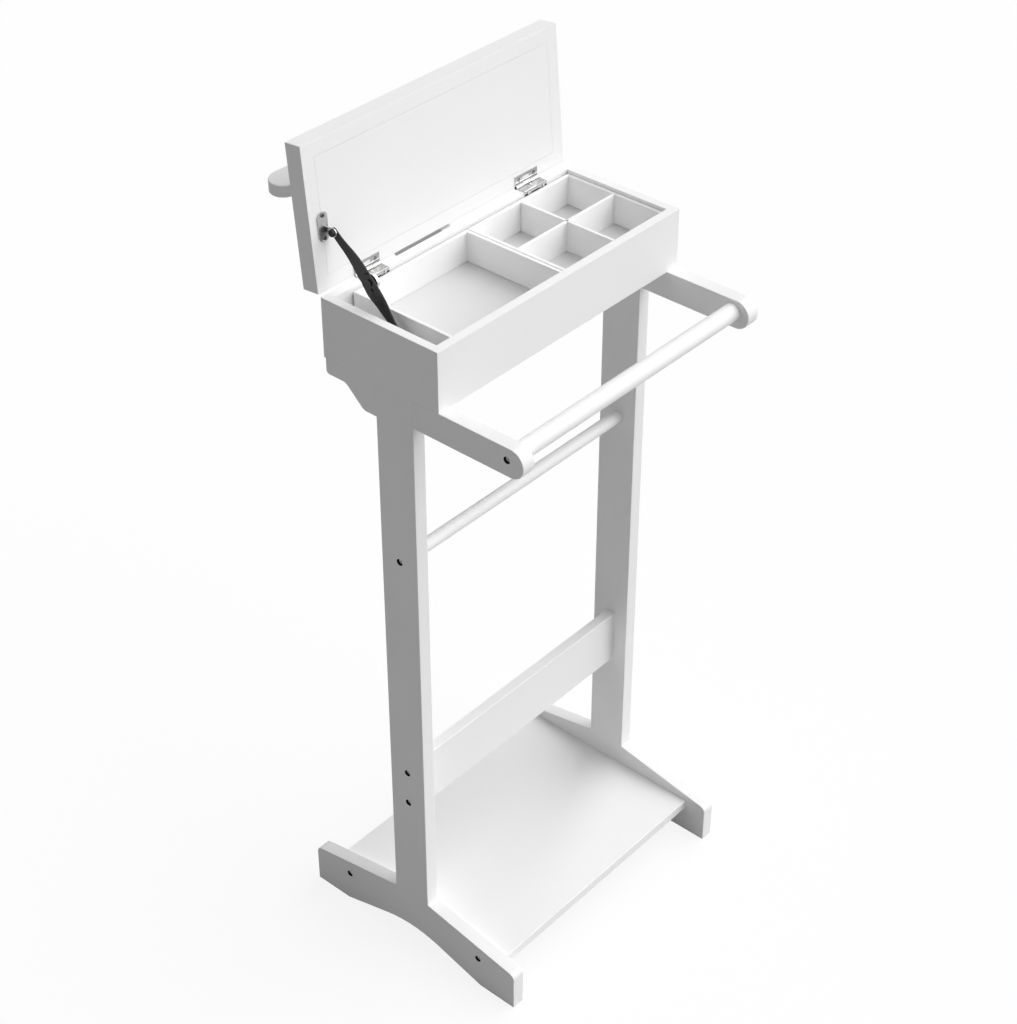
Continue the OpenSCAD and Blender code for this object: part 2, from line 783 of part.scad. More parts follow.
module wall_leaf_screw_places() {
    for (side = [-1, 1])
        translate([side * hinge_screw_spread, leaf_front_y,
                box_top_z - (wall_flange_h - leaf_t) * 0.6])
            rotate([90, 0, 0]) children();
}

module lid_leaf_screw_places() {
    for (side = [-1, 1])
        translate([side * hinge_screw_spread, (lid_leaf_front_y + leaf_edge_y) / 2,
                lid_under_z - leaf_t])
            rotate([180, 0, 0]) children();
}

// Knuckle of the barrel from x over its width
module knuckle(x, bore) {
    difference() {
        bar_x([x, hinge_y, hinge_z], barrel_d, knuckle_w);
        bar_x([x - cut, hinge_y, hinge_z], bore, knuckle_w + 2 * cut);
    }
}

module hinge_wall_leaf() {
    bore = hinge_pin_d + pin_fit;
    difference() {
        union() {
            block([-hinge_w / 2, leaf_front_y, box_top_z],
                [hinge_w / 2, leaf_edge_y, box_top_z + leaf_t]);
            block([-hinge_w / 2, leaf_front_y, box_top_z + leaf_t - wall_flange_h],
                [hinge_w / 2, box_inner_rear_y, box_top_z + leaf_t]);
            for (x = [-hinge_w / 2, hinge_w / 2 - knuckle_w]) {
                knuckle(x, bore);
                difference() {
                    block([x, leaf_edge_y - leaf_t, box_top_z],
                        [x + knuckle_w, hinge_y, box_top_z + leaf_t]);
                    bar_x([x - cut, hinge_y, hinge_z], (barrel_d + bore) / 2, knuckle_w + 2 * cut);
                }
            }
        }
        wall_leaf_screw_places()
            translate([0, 0, -leaf_t - cut])
                cylinder(h = leaf_t + 2 * cut, d = hinge_screw_d + 2 * hole_clear);
        // Slot between the two screws in the flange's lower edge
        block([-hinge_screw_spread / 2, leaf_front_y - cut, box_top_z - wall_flange_h],
            [hinge_screw_spread / 2, box_inner_rear_y, box_top_z - wall_flange_h * 0.55]);
    }
}

module hinge_lid_leaf() {
    bore = hinge_pin_d + 2 * pin_fit;
    plate_z = lid_under_z - leaf_t;
    difference() {
        union() {
            block([-hinge_w / 2, lid_leaf_front_y, plate_z], [hinge_w / 2, leaf_edge_y, lid_under_z]);
            knuckle(-knuckle_w / 2, bore);
            difference() {
                block([-knuckle_w / 2, leaf_edge_y - leaf_t, plate_z],
                    [knuckle_w / 2, hinge_y, lid_under_z]);
                bar_x([-knuckle_w / 2 - cut, hinge_y, hinge_z], (barrel_d + bore) / 2,
                    knuckle_w + 2 * cut);
            }
        }
        lid_leaf_screw_places()
            flush_screw_hole(hinge_screw_head_d, hinge_screw_d, hinge_screw_len);
        // Slot between the two screws
        translate([0, (lid_leaf_front_y + leaf_edge_y) / 2, plate_z - cut])
            linear_extrude(leaf_t + 2 * cut)
                square([hinge_screw_spread, hinge_screw_head_d], center = true);
    }
}

module hinge_wall_leaf_left() color(nickel) placed()
    translate([left_hinge_x, 0, 0]) hinge_wall_leaf();

module hinge_wall_leaf_right() color(nickel) placed()
    translate([right_hinge_x, 0, 0]) hinge_wall_leaf();

module hinge_lid_leaf_left() color(nickel) placed() opened()
    translate([left_hinge_x, 0, 0]) hinge_lid_leaf();

module hinge_lid_leaf_right() color(nickel) placed() opened()
    translate([right_hinge_x, 0, 0]) hinge_lid_leaf();

module hinge_pins() color(nickel) placed() hinge_places()
    bar_x([-hinge_w / 2, hinge_y, hinge_z], hinge_pin_d, hinge_w);

module hinge_wall_screws() color(nickel) placed() hinge_places() wall_leaf_screw_places() {
    cylinder(h = leaf_t, d = hinge_screw_head_d);
    translate([0, 0, -hinge_screw_len]) cylinder(h = hinge_screw_len, d = hinge_screw_d);
}

module hinge_lid_screws() color(nickel) placed() opened() hinge_places() lid_leaf_screw_places()
    flush_screw(hinge_screw_head_d, hinge_screw_d, hinge_screw_len);

// Lid stay: planes across the box, counted from the left outer face
lower_arm_x = stay_x - half_w;
upper_arm_x = lower_arm_x + arm_plate_t + plate_gap;
ear_x = upper_arm_x - plate_gap - stay_plate_t;
disc_x = upper_arm_x + arm_plate_t;
stay_plate_x = ear_x + stay_plate_t - stay_plate_w / 2;

// Pivots as [depth, height] with the lid open; the top one is turned open with the lid
top_pivot_closed = [box_rear_y - top_pivot_rise, lid_under_z - top_pivot_standoff];
hinge_axis = [hinge_y, hinge_z];
top_pivot = hinge_axis + turned(top_pivot_closed - hinge_axis, -lid_open);
elbow_pivot = [box_inner_rear_y - elbow_ahead, box_top_z + elbow_rise];
base_pivot = [box_inner_rear_y - base_ahead, box_floor_z + base_rise];

// Screws of the lid plate, with the lid closed, heads down
module stay_plate_screw_places() {
    for (along = [stay_screw_inset, stay_plate_len - stay_screw_inset])
        translate([stay_plate_x, box_rear_y - stay_plate_from - along,
                lid_under_z - stay_plate_t])
            rotate([180, 0, 0]) children();
}

module stay_lid_bracket() color(nickel) placed() opened()
    difference() {
        union() {
            // Plate on the lid with round ends
            for (end = [stay_plate_w / 2, stay_plate_len - stay_plate_w / 2])
                bar_z([stay_plate_x, box_rear_y - stay_plate_from - end, lid_under_z - stay_plate_t],
                    stay_plate_w, stay_plate_t);
            block([stay_plate_x - stay_plate_w / 2,
                    box_rear_y - stay_plate_from - stay_plate_len + stay_plate_w / 2,
                    lid_under_z - stay_plate_t],
                [stay_plate_x + stay_plate_w / 2,
                    box_rear_y - stay_plate_from - stay_plate_w / 2, lid_under_z]);
            // Ear that stands off the lid and carries the top pivot
            block([ear_x, top_pivot_closed.x - upper_end_w / 2, top_pivot_closed.y],
                [ear_x + stay_plate_t, top_pivot_closed.x + upper_end_w / 2,
                    lid_under_z]);
            bar_x([ear_x, top_pivot_closed.x, top_pivot_closed.y], upper_end_w, stay_plate_t);
        }
        bar_x([ear_x - cut, top_pivot_closed.x, top_pivot_closed.y],
            rivet_d + pin_fit, stay_plate_t + 2 * cut);
        stay_plate_screw_places()
            translate([0, 0, -stay_plate_t - cut])
                cylinder(h = stay_plate_t + 2 * cut, d = hinge_screw_d + 2 * hole_clear);
    }

module stay_bracket_screws() color(nickel) placed() opened() stay_plate_screw_places() {
    cylinder(h = rivet_head_h, d = hinge_screw_head_d);
    translate([0, 0, -hinge_screw_len]) cylinder(h = hinge_screw_len, d = hinge_screw_d);
}

// Points beside a bowed middle line from a to b, at half of a width that tapers
// from width_a to width_b by the given power
function bowed_edge(a, b, bow, width_a, width_b, power, side) =
    let (
        steps = 12,
        run = unit(b - a),
        across = [-run.y, run.x],
        bend = (a + b) / 2 - across * bow
    )
    [for (i = [0 : steps])
        let (
            t = i / steps,
            on_line = a * (1 - t) * (1 - t) + bend * 2 * t * (1 - t) + b * t * t,
            heading = unit((bend - a) * (1 - t) + (b - bend) * t),
            width = width_b + (width_a - width_b) * pow(1 - t, power)
        )
        on_line + [-heading.y, heading.x] * side * width / 2];

// Half-round end of an arm, turned on from a start angle against its heading
function round_end(centre, heading, width, start) =
    let (steps = 12)
    [for (i = [1 : steps - 1])
        centre + turned(heading, start - half_turn * i / steps) * width / 2];

// Sickle-shaped flat arm from the elbow to its other pivot
module sickle(end, bow, end_w, power) {
    near = bowed_edge(elbow_pivot, end, bow, elbow_w, end_w, power, 1);
    far = bowed_edge(elbow_pivot, end, bow, elbow_w, end_w, power, -1);
    n = len(far);
    run = unit(end - elbow_pivot);
    bend = (elbow_pivot + end) / 2 - [-run.y, run.x] * bow;
    polygon(concat(
        near,
        round_end(end, unit(end - bend), end_w, 90),
        [for (i = [1 : n]) far[n - i]],
        round_end(elbow_pivot, unit(bend - elbow_pivot), elbow_w, -90)
    ));
}

// Upper arm's edges between the elbow and its top pivot: [share of the pivots'
// distance, share of the width at the elbow away from the line of the pivots]
upper_front_share = [
    [0.92, 0.21], [0.78, 0.23], [0.6, 0.31], [0.44, 0.355], [0.28, 0.35], [0.12, 0.31], [0, 0.3]
];
upper_rear_share = [
    [0.02, -0.57], [0.155, -0.62], [0.29, -0.53], [0.43, -0.4], [0.57, -0.32], [0.73, -0.295],
    [0.88, -0.285]
];
// Round end at the elbow: middle and radius as shares of the width there
upper_lobe_share = [-0.13, 0.43];

function upper_edge(share) =
    let (run = top_pivot - elbow_pivot, across = [-unit(run).y, unit(run).x] * elbow_w)
    [for (s = share) elbow_pivot + run * s.x + across * s.y];

module upper_arm_outline() {
    heading = unit(top_pivot - elbow_pivot);
    lobe = upper_edge([[0, upper_lobe_share[0]]])[0];
    polygon(concat(
        upper_edge(upper_rear_share),
        [for (i = [1 : 11])
            top_pivot + turned(heading, half_turn * (i / 12 - 0.5)) * upper_end_w / 2],
        upper_edge(upper_front_share),
        [for (i = [1 : 11])
            lobe - turned(heading, half_turn * (i / 12 - 0.5)) * elbow_w * upper_lobe_share[1]]
    ));
}

module stay_upper_arm() color(black_steel) placed()
    difference() {
        upright_board(upper_arm_x, arm_plate_t) upper_arm_outline();
        bar_x([upper_arm_x - cut, top_pivot.x, top_pivot.y], rivet_d + 2 * pin_fit,
            arm_plate_t + 2 * cut);
        bar_x([upper_arm_x - cut, elbow_pivot.x, elbow_pivot.y], rivet_d + pin_fit,
            arm_plate_t + 2 * cut);
    }

module stay_lower_arm() color(black_steel) placed()
    difference() {
        upright_board(lower_arm_x, arm_plate_t) sickle(base_pivot, -lower_bow, lower_end_w, 2);
        bar_x([lower_arm_x - cut, elbow_pivot.x, elbow_pivot.y], rivet_d + 2 * pin_fit,
            arm_plate_t + 2 * cut);
        bar_x([lower_arm_x - cut, base_pivot.x, base_pivot.y], rivet_d + 2 * pin_fit,
            arm_plate_t + 2 * cut);
        bar_x([lower_arm_x - cut, stop_place.x, stop_place.y], hinge_screw_d + 2 * hole_clear,
            arm_plate_t + 2 * cut);
    }

// Damper disc, with a bore for the elbow rivet
module stay_disc() color(nickel) placed()
    difference() {
        bar_x([disc_x, elbow_pivot.x, elbow_pivot.y], disc_d, disc_t);
        bar_x([disc_x - cut, elbow_pivot.x, elbow_pivot.y], rivet_d + pin_fit, disc_t + 2 * cut);
    }

module stay_top_rivet() color(nickel) placed() {
    head_x = ear_x - rivet_head_h;
    bar_x([head_x, top_pivot.x, top_pivot.y], rivet_head_d, rivet_head_h);
    bar_x([head_x, top_pivot.x, top_pivot.y], rivet_d,
        rivet_head_h + stay_plate_t + arm_plate_t + 2 * plate_gap);
    bar_x([upper_arm_x + arm_plate_t + plate_gap, top_pivot.x, top_pivot.y],
        rivet_head_d, rivet_head_h);
}

module stay_elbow_rivet() color(nickel) placed() {
    head_x = lower_arm_x - plate_gap - rivet_head_h;
    bar_x([head_x, elbow_pivot.x, elbow_pivot.y], elbow_head_d, rivet_head_h);
    bar_x([head_x, elbow_pivot.x, elbow_pivot.y], rivet_d,
        rivet_head_h + 2 * (plate_gap + arm_plate_t) + disc_t);
}

// Stop pin on the lower arm, below the elbow
stop_place = elbow_pivot + [-elbow_w * 0.16, -elbow_w * 0.37];

module stay_stop_pin() color(nickel) placed() {
    bar_x([lower_arm_x - rivet_head_h, stop_place.x, stop_place.y],
        hinge_screw_head_d, rivet_head_h);
    bar_x([lower_arm_x - rivet_head_h, stop_place.x, stop_place.y],
        hinge_screw_d, rivet_head_h + arm_plate_t);
}

// Base bracket: foot plate on the bottom panel, upright plate and pivot boss
base_face_x = lower_arm_x - plate_gap - stay_plate_t;

module base_screw_places() {
    for (y = [base_screw_inset, base_plate_len - base_screw_inset])
        translate([base_face_x + stay_plate_t - base_plate_w / 2,
                base_pivot.x - base_plate_len / 2 + y, box_floor_z])
            children();
}

module stay_base_bracket() color(nickel) placed()
    difference() {
        union() {
            block([base_face_x + stay_plate_t - base_plate_w,
                    base_pivot.x - base_plate_len / 2, box_floor_z],
                [base_face_x + stay_plate_t, base_pivot.x + base_plate_len / 2,
                    box_floor_z + stay_plate_t]);
            block([base_face_x, base_pivot.x - lower_end_w / 2, box_floor_z],
                [base_face_x + stay_plate_t, base_pivot.x + lower_end_w / 2, base_pivot.y]);
            bar_x([base_face_x, base_pivot.x, base_pivot.y], lower_end_w, stay_plate_t);
        }
        base_screw_places()
            translate([0, 0, -cut])
                cylinder(h = stay_plate_t + 2 * cut, d = hinge_screw_d + 2 * hole_clear);
    }

module stay_base_screws() color(nickel) placed() base_screw_places() {
    translate([0, 0, stay_plate_t]) cylinder(h = rivet_head_h, d = hinge_screw_head_d);
    translate([0, 0, -base_screw_len])
        cylinder(h = base_screw_len + stay_plate_t, d = hinge_screw_d);
}

// Board behind the box that carries the hanger
support_top_z = hanger_under_z - support_seat;
support_level_z = box_top_z - support_drop;
hanger_narrow = (hanger_d - hanger_end_d) / 2;
hanger_mid_back = hanger_back - hanger_sweep + hanger_narrow;
hanger_dowel_share = [0.27, 0.73];
hanger_dowel_from = max(support_front_y, hanger_mid_back - hanger_d);
hanger_dowel_y = [for (s = hanger_dowel_share)
    hanger_dowel_from + (min(support_back_y, hanger_mid_back) - hanger_dowel_from) * s];
hanger_dowel_rise = hanger_t * 0.7;

function support_outline() = outline([
    [box_rear_y, box_under_z, 0],
    [support_back_y, box_under_z, support_corner_r],
    [support_back_y, support_top_z, 0],
    [support_front_y, support_top_z, 0],
    [support_front_y, support_level_z, support_inner_r],
    [box_rear_y, support_level_z, 0]
]);

module hanger_support() color(white_paint) placed()
    difference() {
        upright_board(-support_t / 2, support_t) polygon(support_outline());
        support_screw_places()
            translate([0, 0, -support_screw_len - hole_clear])
                cylinder(h = support_screw_len - box_wall + cut,
                    d = support_screw_d + 2 * hole_clear);
        for (y = hanger_dowel_y)
            bar_z([0, y, support_top_z - dowel_len / 2], dowel_d + 2 * hole_clear,
                dowel_len / 2 + cut);
    }

module hanger_support_screws() color(zinc) placed() support_screw_places()
    flush_screw(support_screw_head_d, support_screw_d, support_screw_len);

// Hanger seen from above: both long edges bow forward, and the ends are half round
function edge_y(middle_y, x) =
    let (reach = hanger_w / 2 - hanger_end_d / 2, r = (reach * reach + hanger_sweep * hanger_sweep)
        / (2 * hanger_sweep))
    middle_y + r - sqrt(r * r - x * x);

function hanger_plan() =
    let (
        reach = hanger_w / 2 - hanger_end_d / 2,
        steps = 16,
        cap_y = hanger_back - hanger_end_d / 2
    )
    concat(
        [for (i = [-steps : steps])
            let (s = i / steps)
                [reach * s, edge_y(hanger_mid_back, reach * s) - hanger_narrow * s * s]],
        [for (a = [1 : 17]) [reach, cap_y] + hanger_end_d / 2 * [sin(a * 10), cos(a * 10)]],
        [for (i = [-steps : steps])
            let (s = -i / steps)
                [reach * s, edge_y(hanger_mid_back - hanger_d, reach * s)
                    + hanger_narrow * s * s]],
        [for (a = [1 : 17]) [-reach, cap_y] - hanger_end_d / 2 * [sin(a * 10), cos(a * 10)]]
    );

// Large disc whose rim gives the curve across the shoulders
module shoulder_disc(r, more) {
    translate([0, -more, hanger_top_z - hanger_r])
        rotate([-90, 0, 0]) cylinder(h = hanger_back + cut + 2 * more, r = r, $fn = 720);
}

module hanger() color(white_paint) placed()
    difference() {
        intersection() {
            translate([0, 0, hanger_under_z - 2 * hanger_t])
                linear_extrude(4 * hanger_t) polygon(hanger_plan());
            difference() {
                shoulder_disc(hanger_r, 0);
                shoulder_disc(hanger_r - hanger_t, cut);
            }
        }
        for (y = hanger_dowel_y)
            bar_z([0, y, hanger_under_z - cut], dowel_d + 2 * hole_clear,
                cut + hanger_dowel_rise + hole_clear);
    }

module hanger_dowels() color(beech) placed()
    for (y = hanger_dowel_y)
        bar_z([0, y, support_top_z - dowel_len / 2 + hole_clear], dowel_d,
            dowel_len / 2 + hanger_dowel_rise);

side_frame_left();
side_frame_right();
arm_left();
arm_right();
arm_dowels();
trouser_bar();
trouser_bar_inserts();
trouser_bar_bolts();
lower_rod();
lower_rod_inserts();
lower_rod_bolts();
stretcher();
stretcher_cross_nuts();
stretcher_bolts();
shoe_shelf();
shelf_cross_nuts();
shelf_bolts();
box_front();
box_rear();
box_left_end();
box_right_end();
box_bottom();
box_dowels();
tray_ledge_front();
tray_ledge_rear();
tray_open();
tray_open_floor();
tray_divided();
tray_divided_floor();
tray_divider_long();
tray_divider_cross();
lid_frame();
lid_panel();
hinge_wall_leaf_left();
hinge_wall_leaf_right();
hinge_lid_leaf_left();
hinge_lid_leaf_right();
hinge_pins();
hinge_wall_screws();
hinge_lid_screws();
stay_lid_bracket();
stay_bracket_screws();
stay_upper_arm();
stay_lower_arm();
stay_disc();
stay_top_rivet();
stay_elbow_rivet();
stay_stop_pin();
stay_base_bracket();
stay_base_screws();
hanger_support();
hanger_support_screws();
hanger();
hanger_dowels();
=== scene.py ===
# Clothes valet stand: white lacquered boards and bars, a lidded box with two lift-out
# trays, bright hinges and a black folding lid stay. All lengths are metres.
import json
import math

import bmesh
import bpy
import numpy as np
from mathutils import Matrix, Vector


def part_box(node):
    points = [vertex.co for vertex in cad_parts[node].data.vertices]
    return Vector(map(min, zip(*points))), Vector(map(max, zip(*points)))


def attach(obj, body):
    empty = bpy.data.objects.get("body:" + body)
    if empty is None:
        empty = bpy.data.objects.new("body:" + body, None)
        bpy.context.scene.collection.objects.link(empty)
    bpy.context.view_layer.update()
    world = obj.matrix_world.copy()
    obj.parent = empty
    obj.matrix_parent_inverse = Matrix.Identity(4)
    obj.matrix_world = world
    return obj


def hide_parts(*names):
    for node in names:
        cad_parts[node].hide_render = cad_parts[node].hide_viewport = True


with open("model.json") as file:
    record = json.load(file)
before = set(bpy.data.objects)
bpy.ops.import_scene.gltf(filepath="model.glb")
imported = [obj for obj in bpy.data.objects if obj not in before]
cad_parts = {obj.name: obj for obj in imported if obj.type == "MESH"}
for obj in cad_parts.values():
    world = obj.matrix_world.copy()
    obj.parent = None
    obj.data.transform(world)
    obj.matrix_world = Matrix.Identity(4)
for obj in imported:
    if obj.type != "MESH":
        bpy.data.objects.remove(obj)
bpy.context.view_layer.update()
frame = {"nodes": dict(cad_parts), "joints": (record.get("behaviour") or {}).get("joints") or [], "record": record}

mm = 0.001
print("frame loaded:", len(frame["nodes"]), "nodes")


# Camera, solved from the straight edges of the stand in the photograph
photoCamera = {
    "place": (-1.7549, -1.5286, 2.3453),
    "heading": 49.04,            # degrees from straight back towards the right
    "tilt": -36.06,              # degrees above the level
    "roll": 0.08,
    "focalPixels": 2192.6,
    "centrePixel": (512.5, 495.6),
    "imageSize": (1017, 1024),
    "sensor": 36,                # millimetres, on the long side
    "clip": (0.05, 100),
}


def addCamera(setup):
    # Lens: focal length in pixels over the long side, times the sensor. Shift: distance of
    # the picture's middle from the optical centre, in long sides. The camera looks down at
    # first, tilts up by a right angle and its tilt, and then turns to its heading
    data = bpy.data.cameras.new("photoCamera")
    width, height = setup["imageSize"]
    longSide = max(width, height)
    data.sensor_width = setup["sensor"]
    data.lens = setup["focalPixels"] / longSide * setup["sensor"]
    data.shift_x = (width / 2 - setup["centrePixel"][0]) / longSide
    data.shift_y = (setup["centrePixel"][1] - height / 2) / longSide
    data.clip_start, data.clip_end = setup["clip"]
    camera = bpy.data.objects.new("photoCamera", data)
    camera.matrix_world = (
        Matrix.Translation(setup["place"])
        @ Matrix.Rotation(math.radians(-setup["heading"]), 4, "Z")
        @ Matrix.Rotation(math.radians(90 + setup["tilt"]), 4, "X")
        @ Matrix.Rotation(math.radians(setup["roll"]), 4, "Z")
    )
    bpy.context.scene.collection.objects.link(camera)
    bpy.context.scene.camera = camera


addCamera(photoCamera)
bpy.context.scene.view_settings.view_transform = "Standard"
print("camera placed")


def addNode(tree, kind, **values):
    # One shader node in the tree, with its settings by name
    node = tree.nodes.new(kind)
    for name, value in values.items():
        setattr(node, name, value)
    return node


def seenByEye(tree):
    # 1 for rays that see the background: camera rays, reflections and glass
    path = addNode(tree, "ShaderNodeLightPath")
    first = addNode(tree, "ShaderNodeMath", operation="MAXIMUM")
    second = addNode(tree, "ShaderNodeMath", operation="MAXIMUM")
    tree.links.new(path.outputs["Is Camera Ray"], first.inputs[0])
    tree.links.new(path.outputs["Is Glossy Ray"], first.inputs[1])
    tree.links.new(first.outputs[0], second.inputs[0])
    tree.links.new(path.outputs["Is Transmission Ray"], second.inputs[1])
    return second.outputs[0]


# Studio: one broad soft light, an even surround and a white floor that keeps a shadow
studio = {
    "surround": 0.256,           # level of the even light from all round
    "background": 1.0,           # white that the eye and the metal see
    "floorWhite": 0.86,          # share of the floor that is plain white to the eye
    "floorSize": 40,
    "floorColour": 1.0,          # what the eye sees of the lit floor
    "floorBounce": 0.37,         # what the stand gets back from it
    # name, direction towards the light, strength, soft angle in degrees
    "lights": [
        ("sideLight", (0.8, -0.56, 0.70), 3.59, 90),
    ],
}


def addStudio(setup):
    # Surround: even level for the rays that light the stand, white for those of the eye.
    # Floor: a share of plain white and the rest lit floor; both are for the eye only, and
    # the stand gets back the darker bounce
    for name, towards, strength, softness in setup["lights"]:
        lamp = bpy.data.lights.new(name, "SUN")
        lamp.energy = strength
        lamp.angle = math.radians(softness)
        light = bpy.data.objects.new(name, lamp)
        light.rotation_mode = "QUATERNION"
        light.rotation_quaternion = Vector(towards).to_track_quat("Z", "Y")
        bpy.context.scene.collection.objects.link(light)

    world = bpy.data.worlds.new("surround")
    world.use_nodes = True
    tree = world.node_tree
    tree.nodes.clear()
    even = addNode(tree, "ShaderNodeBackground")
    even.inputs["Strength"].default_value = setup["surround"]
    white = addNode(tree, "ShaderNodeBackground")
    for background in (even, white):
        background.inputs["Color"].default_value = (1, 1, 1, 1)
    white.inputs["Strength"].default_value = setup["background"]
    mix = addNode(tree, "ShaderNodeMixShader")
    out = addNode(tree, "ShaderNodeOutputWorld")
    tree.links.new(seenByEye(tree), mix.inputs[0])
    tree.links.new(even.outputs[0], mix.inputs[1])
    tree.links.new(white.outputs[0], mix.inputs[2])
    tree.links.new(mix.outputs[0], out.inputs["Surface"])
    bpy.context.scene.world = world

    paint = bpy.data.materials.new("whiteFloor")
    paint.use_nodes = True
    tree = paint.node_tree
    tree.nodes.clear()
    shaded = addNode(tree, "ShaderNodeBsdfDiffuse")
    colour = addNode(tree, "ShaderNodeMapRange")
    colour.inputs["To Min"].default_value = setup["floorBounce"]
    colour.inputs["To Max"].default_value = setup["floorColour"]
    plain = addNode(tree, "ShaderNodeEmission")
    plain.inputs["Strength"].default_value = setup["background"]
    share = addNode(tree, "ShaderNodeMath", operation="MULTIPLY")
    share.inputs[1].default_value = setup["floorWhite"]
    mix = addNode(tree, "ShaderNodeMixShader")
    out = addNode(tree, "ShaderNodeOutputMaterial")
    seen = seenByEye(tree)
    tree.links.new(seen, colour.inputs["Value"])
    tree.links.new(colour.outputs[0], shaded.inputs["Color"])
    tree.links.new(seen, share.inputs[0])
    tree.links.new(share.outputs[0], mix.inputs[0])
    tree.links.new(shaded.outputs[0], mix.inputs[1])
    tree.links.new(plain.outputs[0], mix.inputs[2])
    tree.links.new(mix.outputs[0], out.inputs["Surface"])

    half = setup["floorSize"] / 2
    corners = [(-half, -half, 0), (half, -half, 0), (half, half, 0), (-half, half, 0)]
    mesh = bpy.data.meshes.new("floor")
    mesh.from_pydata(corners, [], [(0, 1, 2, 3)])
    mesh.materials.append(paint)
    floor = bpy.data.objects.new("floor", mesh)
    bpy.context.scene.collection.objects.link(floor)


addStudio(studio)
print("studio lit")


# Finish group: a colour with soft patches, a roughness that wanders and a fine grain
finishNoise = {"patchDetail": 4, "grainDetail": 2, "range": (0.3, 0.7)}


def makeFinishGroup(setup):
    # Patches of noise dim the colour by their depth and carry the roughness from its least
    # to its most; a second, finer noise is the grain
    tree = bpy.data.node_groups.new("finishSurface", "ShaderNodeTree")
    face = tree.interface
    for name, kind, value in [
        ("Place", "NodeSocketVector", None),
        ("Colour", "NodeSocketColor", (0.8, 0.8, 0.8, 1)),
        ("Patch Size", "NodeSocketFloat", 8),
        ("Patch Depth", "NodeSocketFloat", 0.02),
        ("Grain Size", "NodeSocketFloat", 900),
        ("Least Roughness", "NodeSocketFloat", 0.3),
        ("Most Roughness", "NodeSocketFloat", 0.5),
    ]:
        socket = face.new_socket(name=name, in_out="INPUT", socket_type=kind)
        if value is not None:
            socket.default_value = value
    face.new_socket(name="Colour", in_out="OUTPUT", socket_type="NodeSocketColor")
    face.new_socket(name="Roughness", in_out="OUTPUT", socket_type="NodeSocketFloat")
    face.new_socket(name="Grain", in_out="OUTPUT", socket_type="NodeSocketFloat")

    start = addNode(tree, "NodeGroupInput")
    end = addNode(tree, "NodeGroupOutput")
    patches = addNode(tree, "ShaderNodeTexNoise")
    patches.inputs["Detail"].default_value = setup["patchDetail"]
    grain = addNode(tree, "ShaderNodeTexNoise")
    grain.inputs["Detail"].default_value = setup["grainDetail"]
    shade = addNode(tree, "ShaderNodeMapRange")
    polish = addNode(tree, "ShaderNodeMapRange")
    for spread in (shade, polish):
        spread.inputs["From Min"].default_value = setup["range"][0]
        spread.inputs["From Max"].default_value = setup["range"][1]
    shade.inputs["To Min"].default_value = 0
    dim = addNode(tree, "ShaderNodeMix", data_type="RGBA", blend_type="MULTIPLY")
    dim.inputs[7].default_value = (0, 0, 0, 1)
    link = tree.links.new
    link(start.outputs["Place"], patches.inputs["Vector"])
    link(start.outputs["Place"], grain.inputs["Vector"])
    link(start.outputs["Patch Size"], patches.inputs["Scale"])
    link(start.outputs["Grain Size"], grain.inputs["Scale"])
    link(patches.outputs[0], shade.inputs["Value"])
    link(start.outputs["Patch Depth"], shade.inputs["To Max"])
    link(shade.outputs[0], dim.inputs[0])
    link(start.outputs["Colour"], dim.inputs[6])
    link(dim.outputs[2], end.inputs["Colour"])
    link(patches.outputs[0], polish.inputs["Value"])
    link(start.outputs["Least Roughness"], polish.inputs["To Min"])
    link(start.outputs["Most Roughness"], polish.inputs["To Max"])
    link(polish.outputs[0], end.inputs["Roughness"])
    link(grain.outputs[0], end.inputs["Grain"])
    return tree


finishGroup = makeFinishGroup(finishNoise)

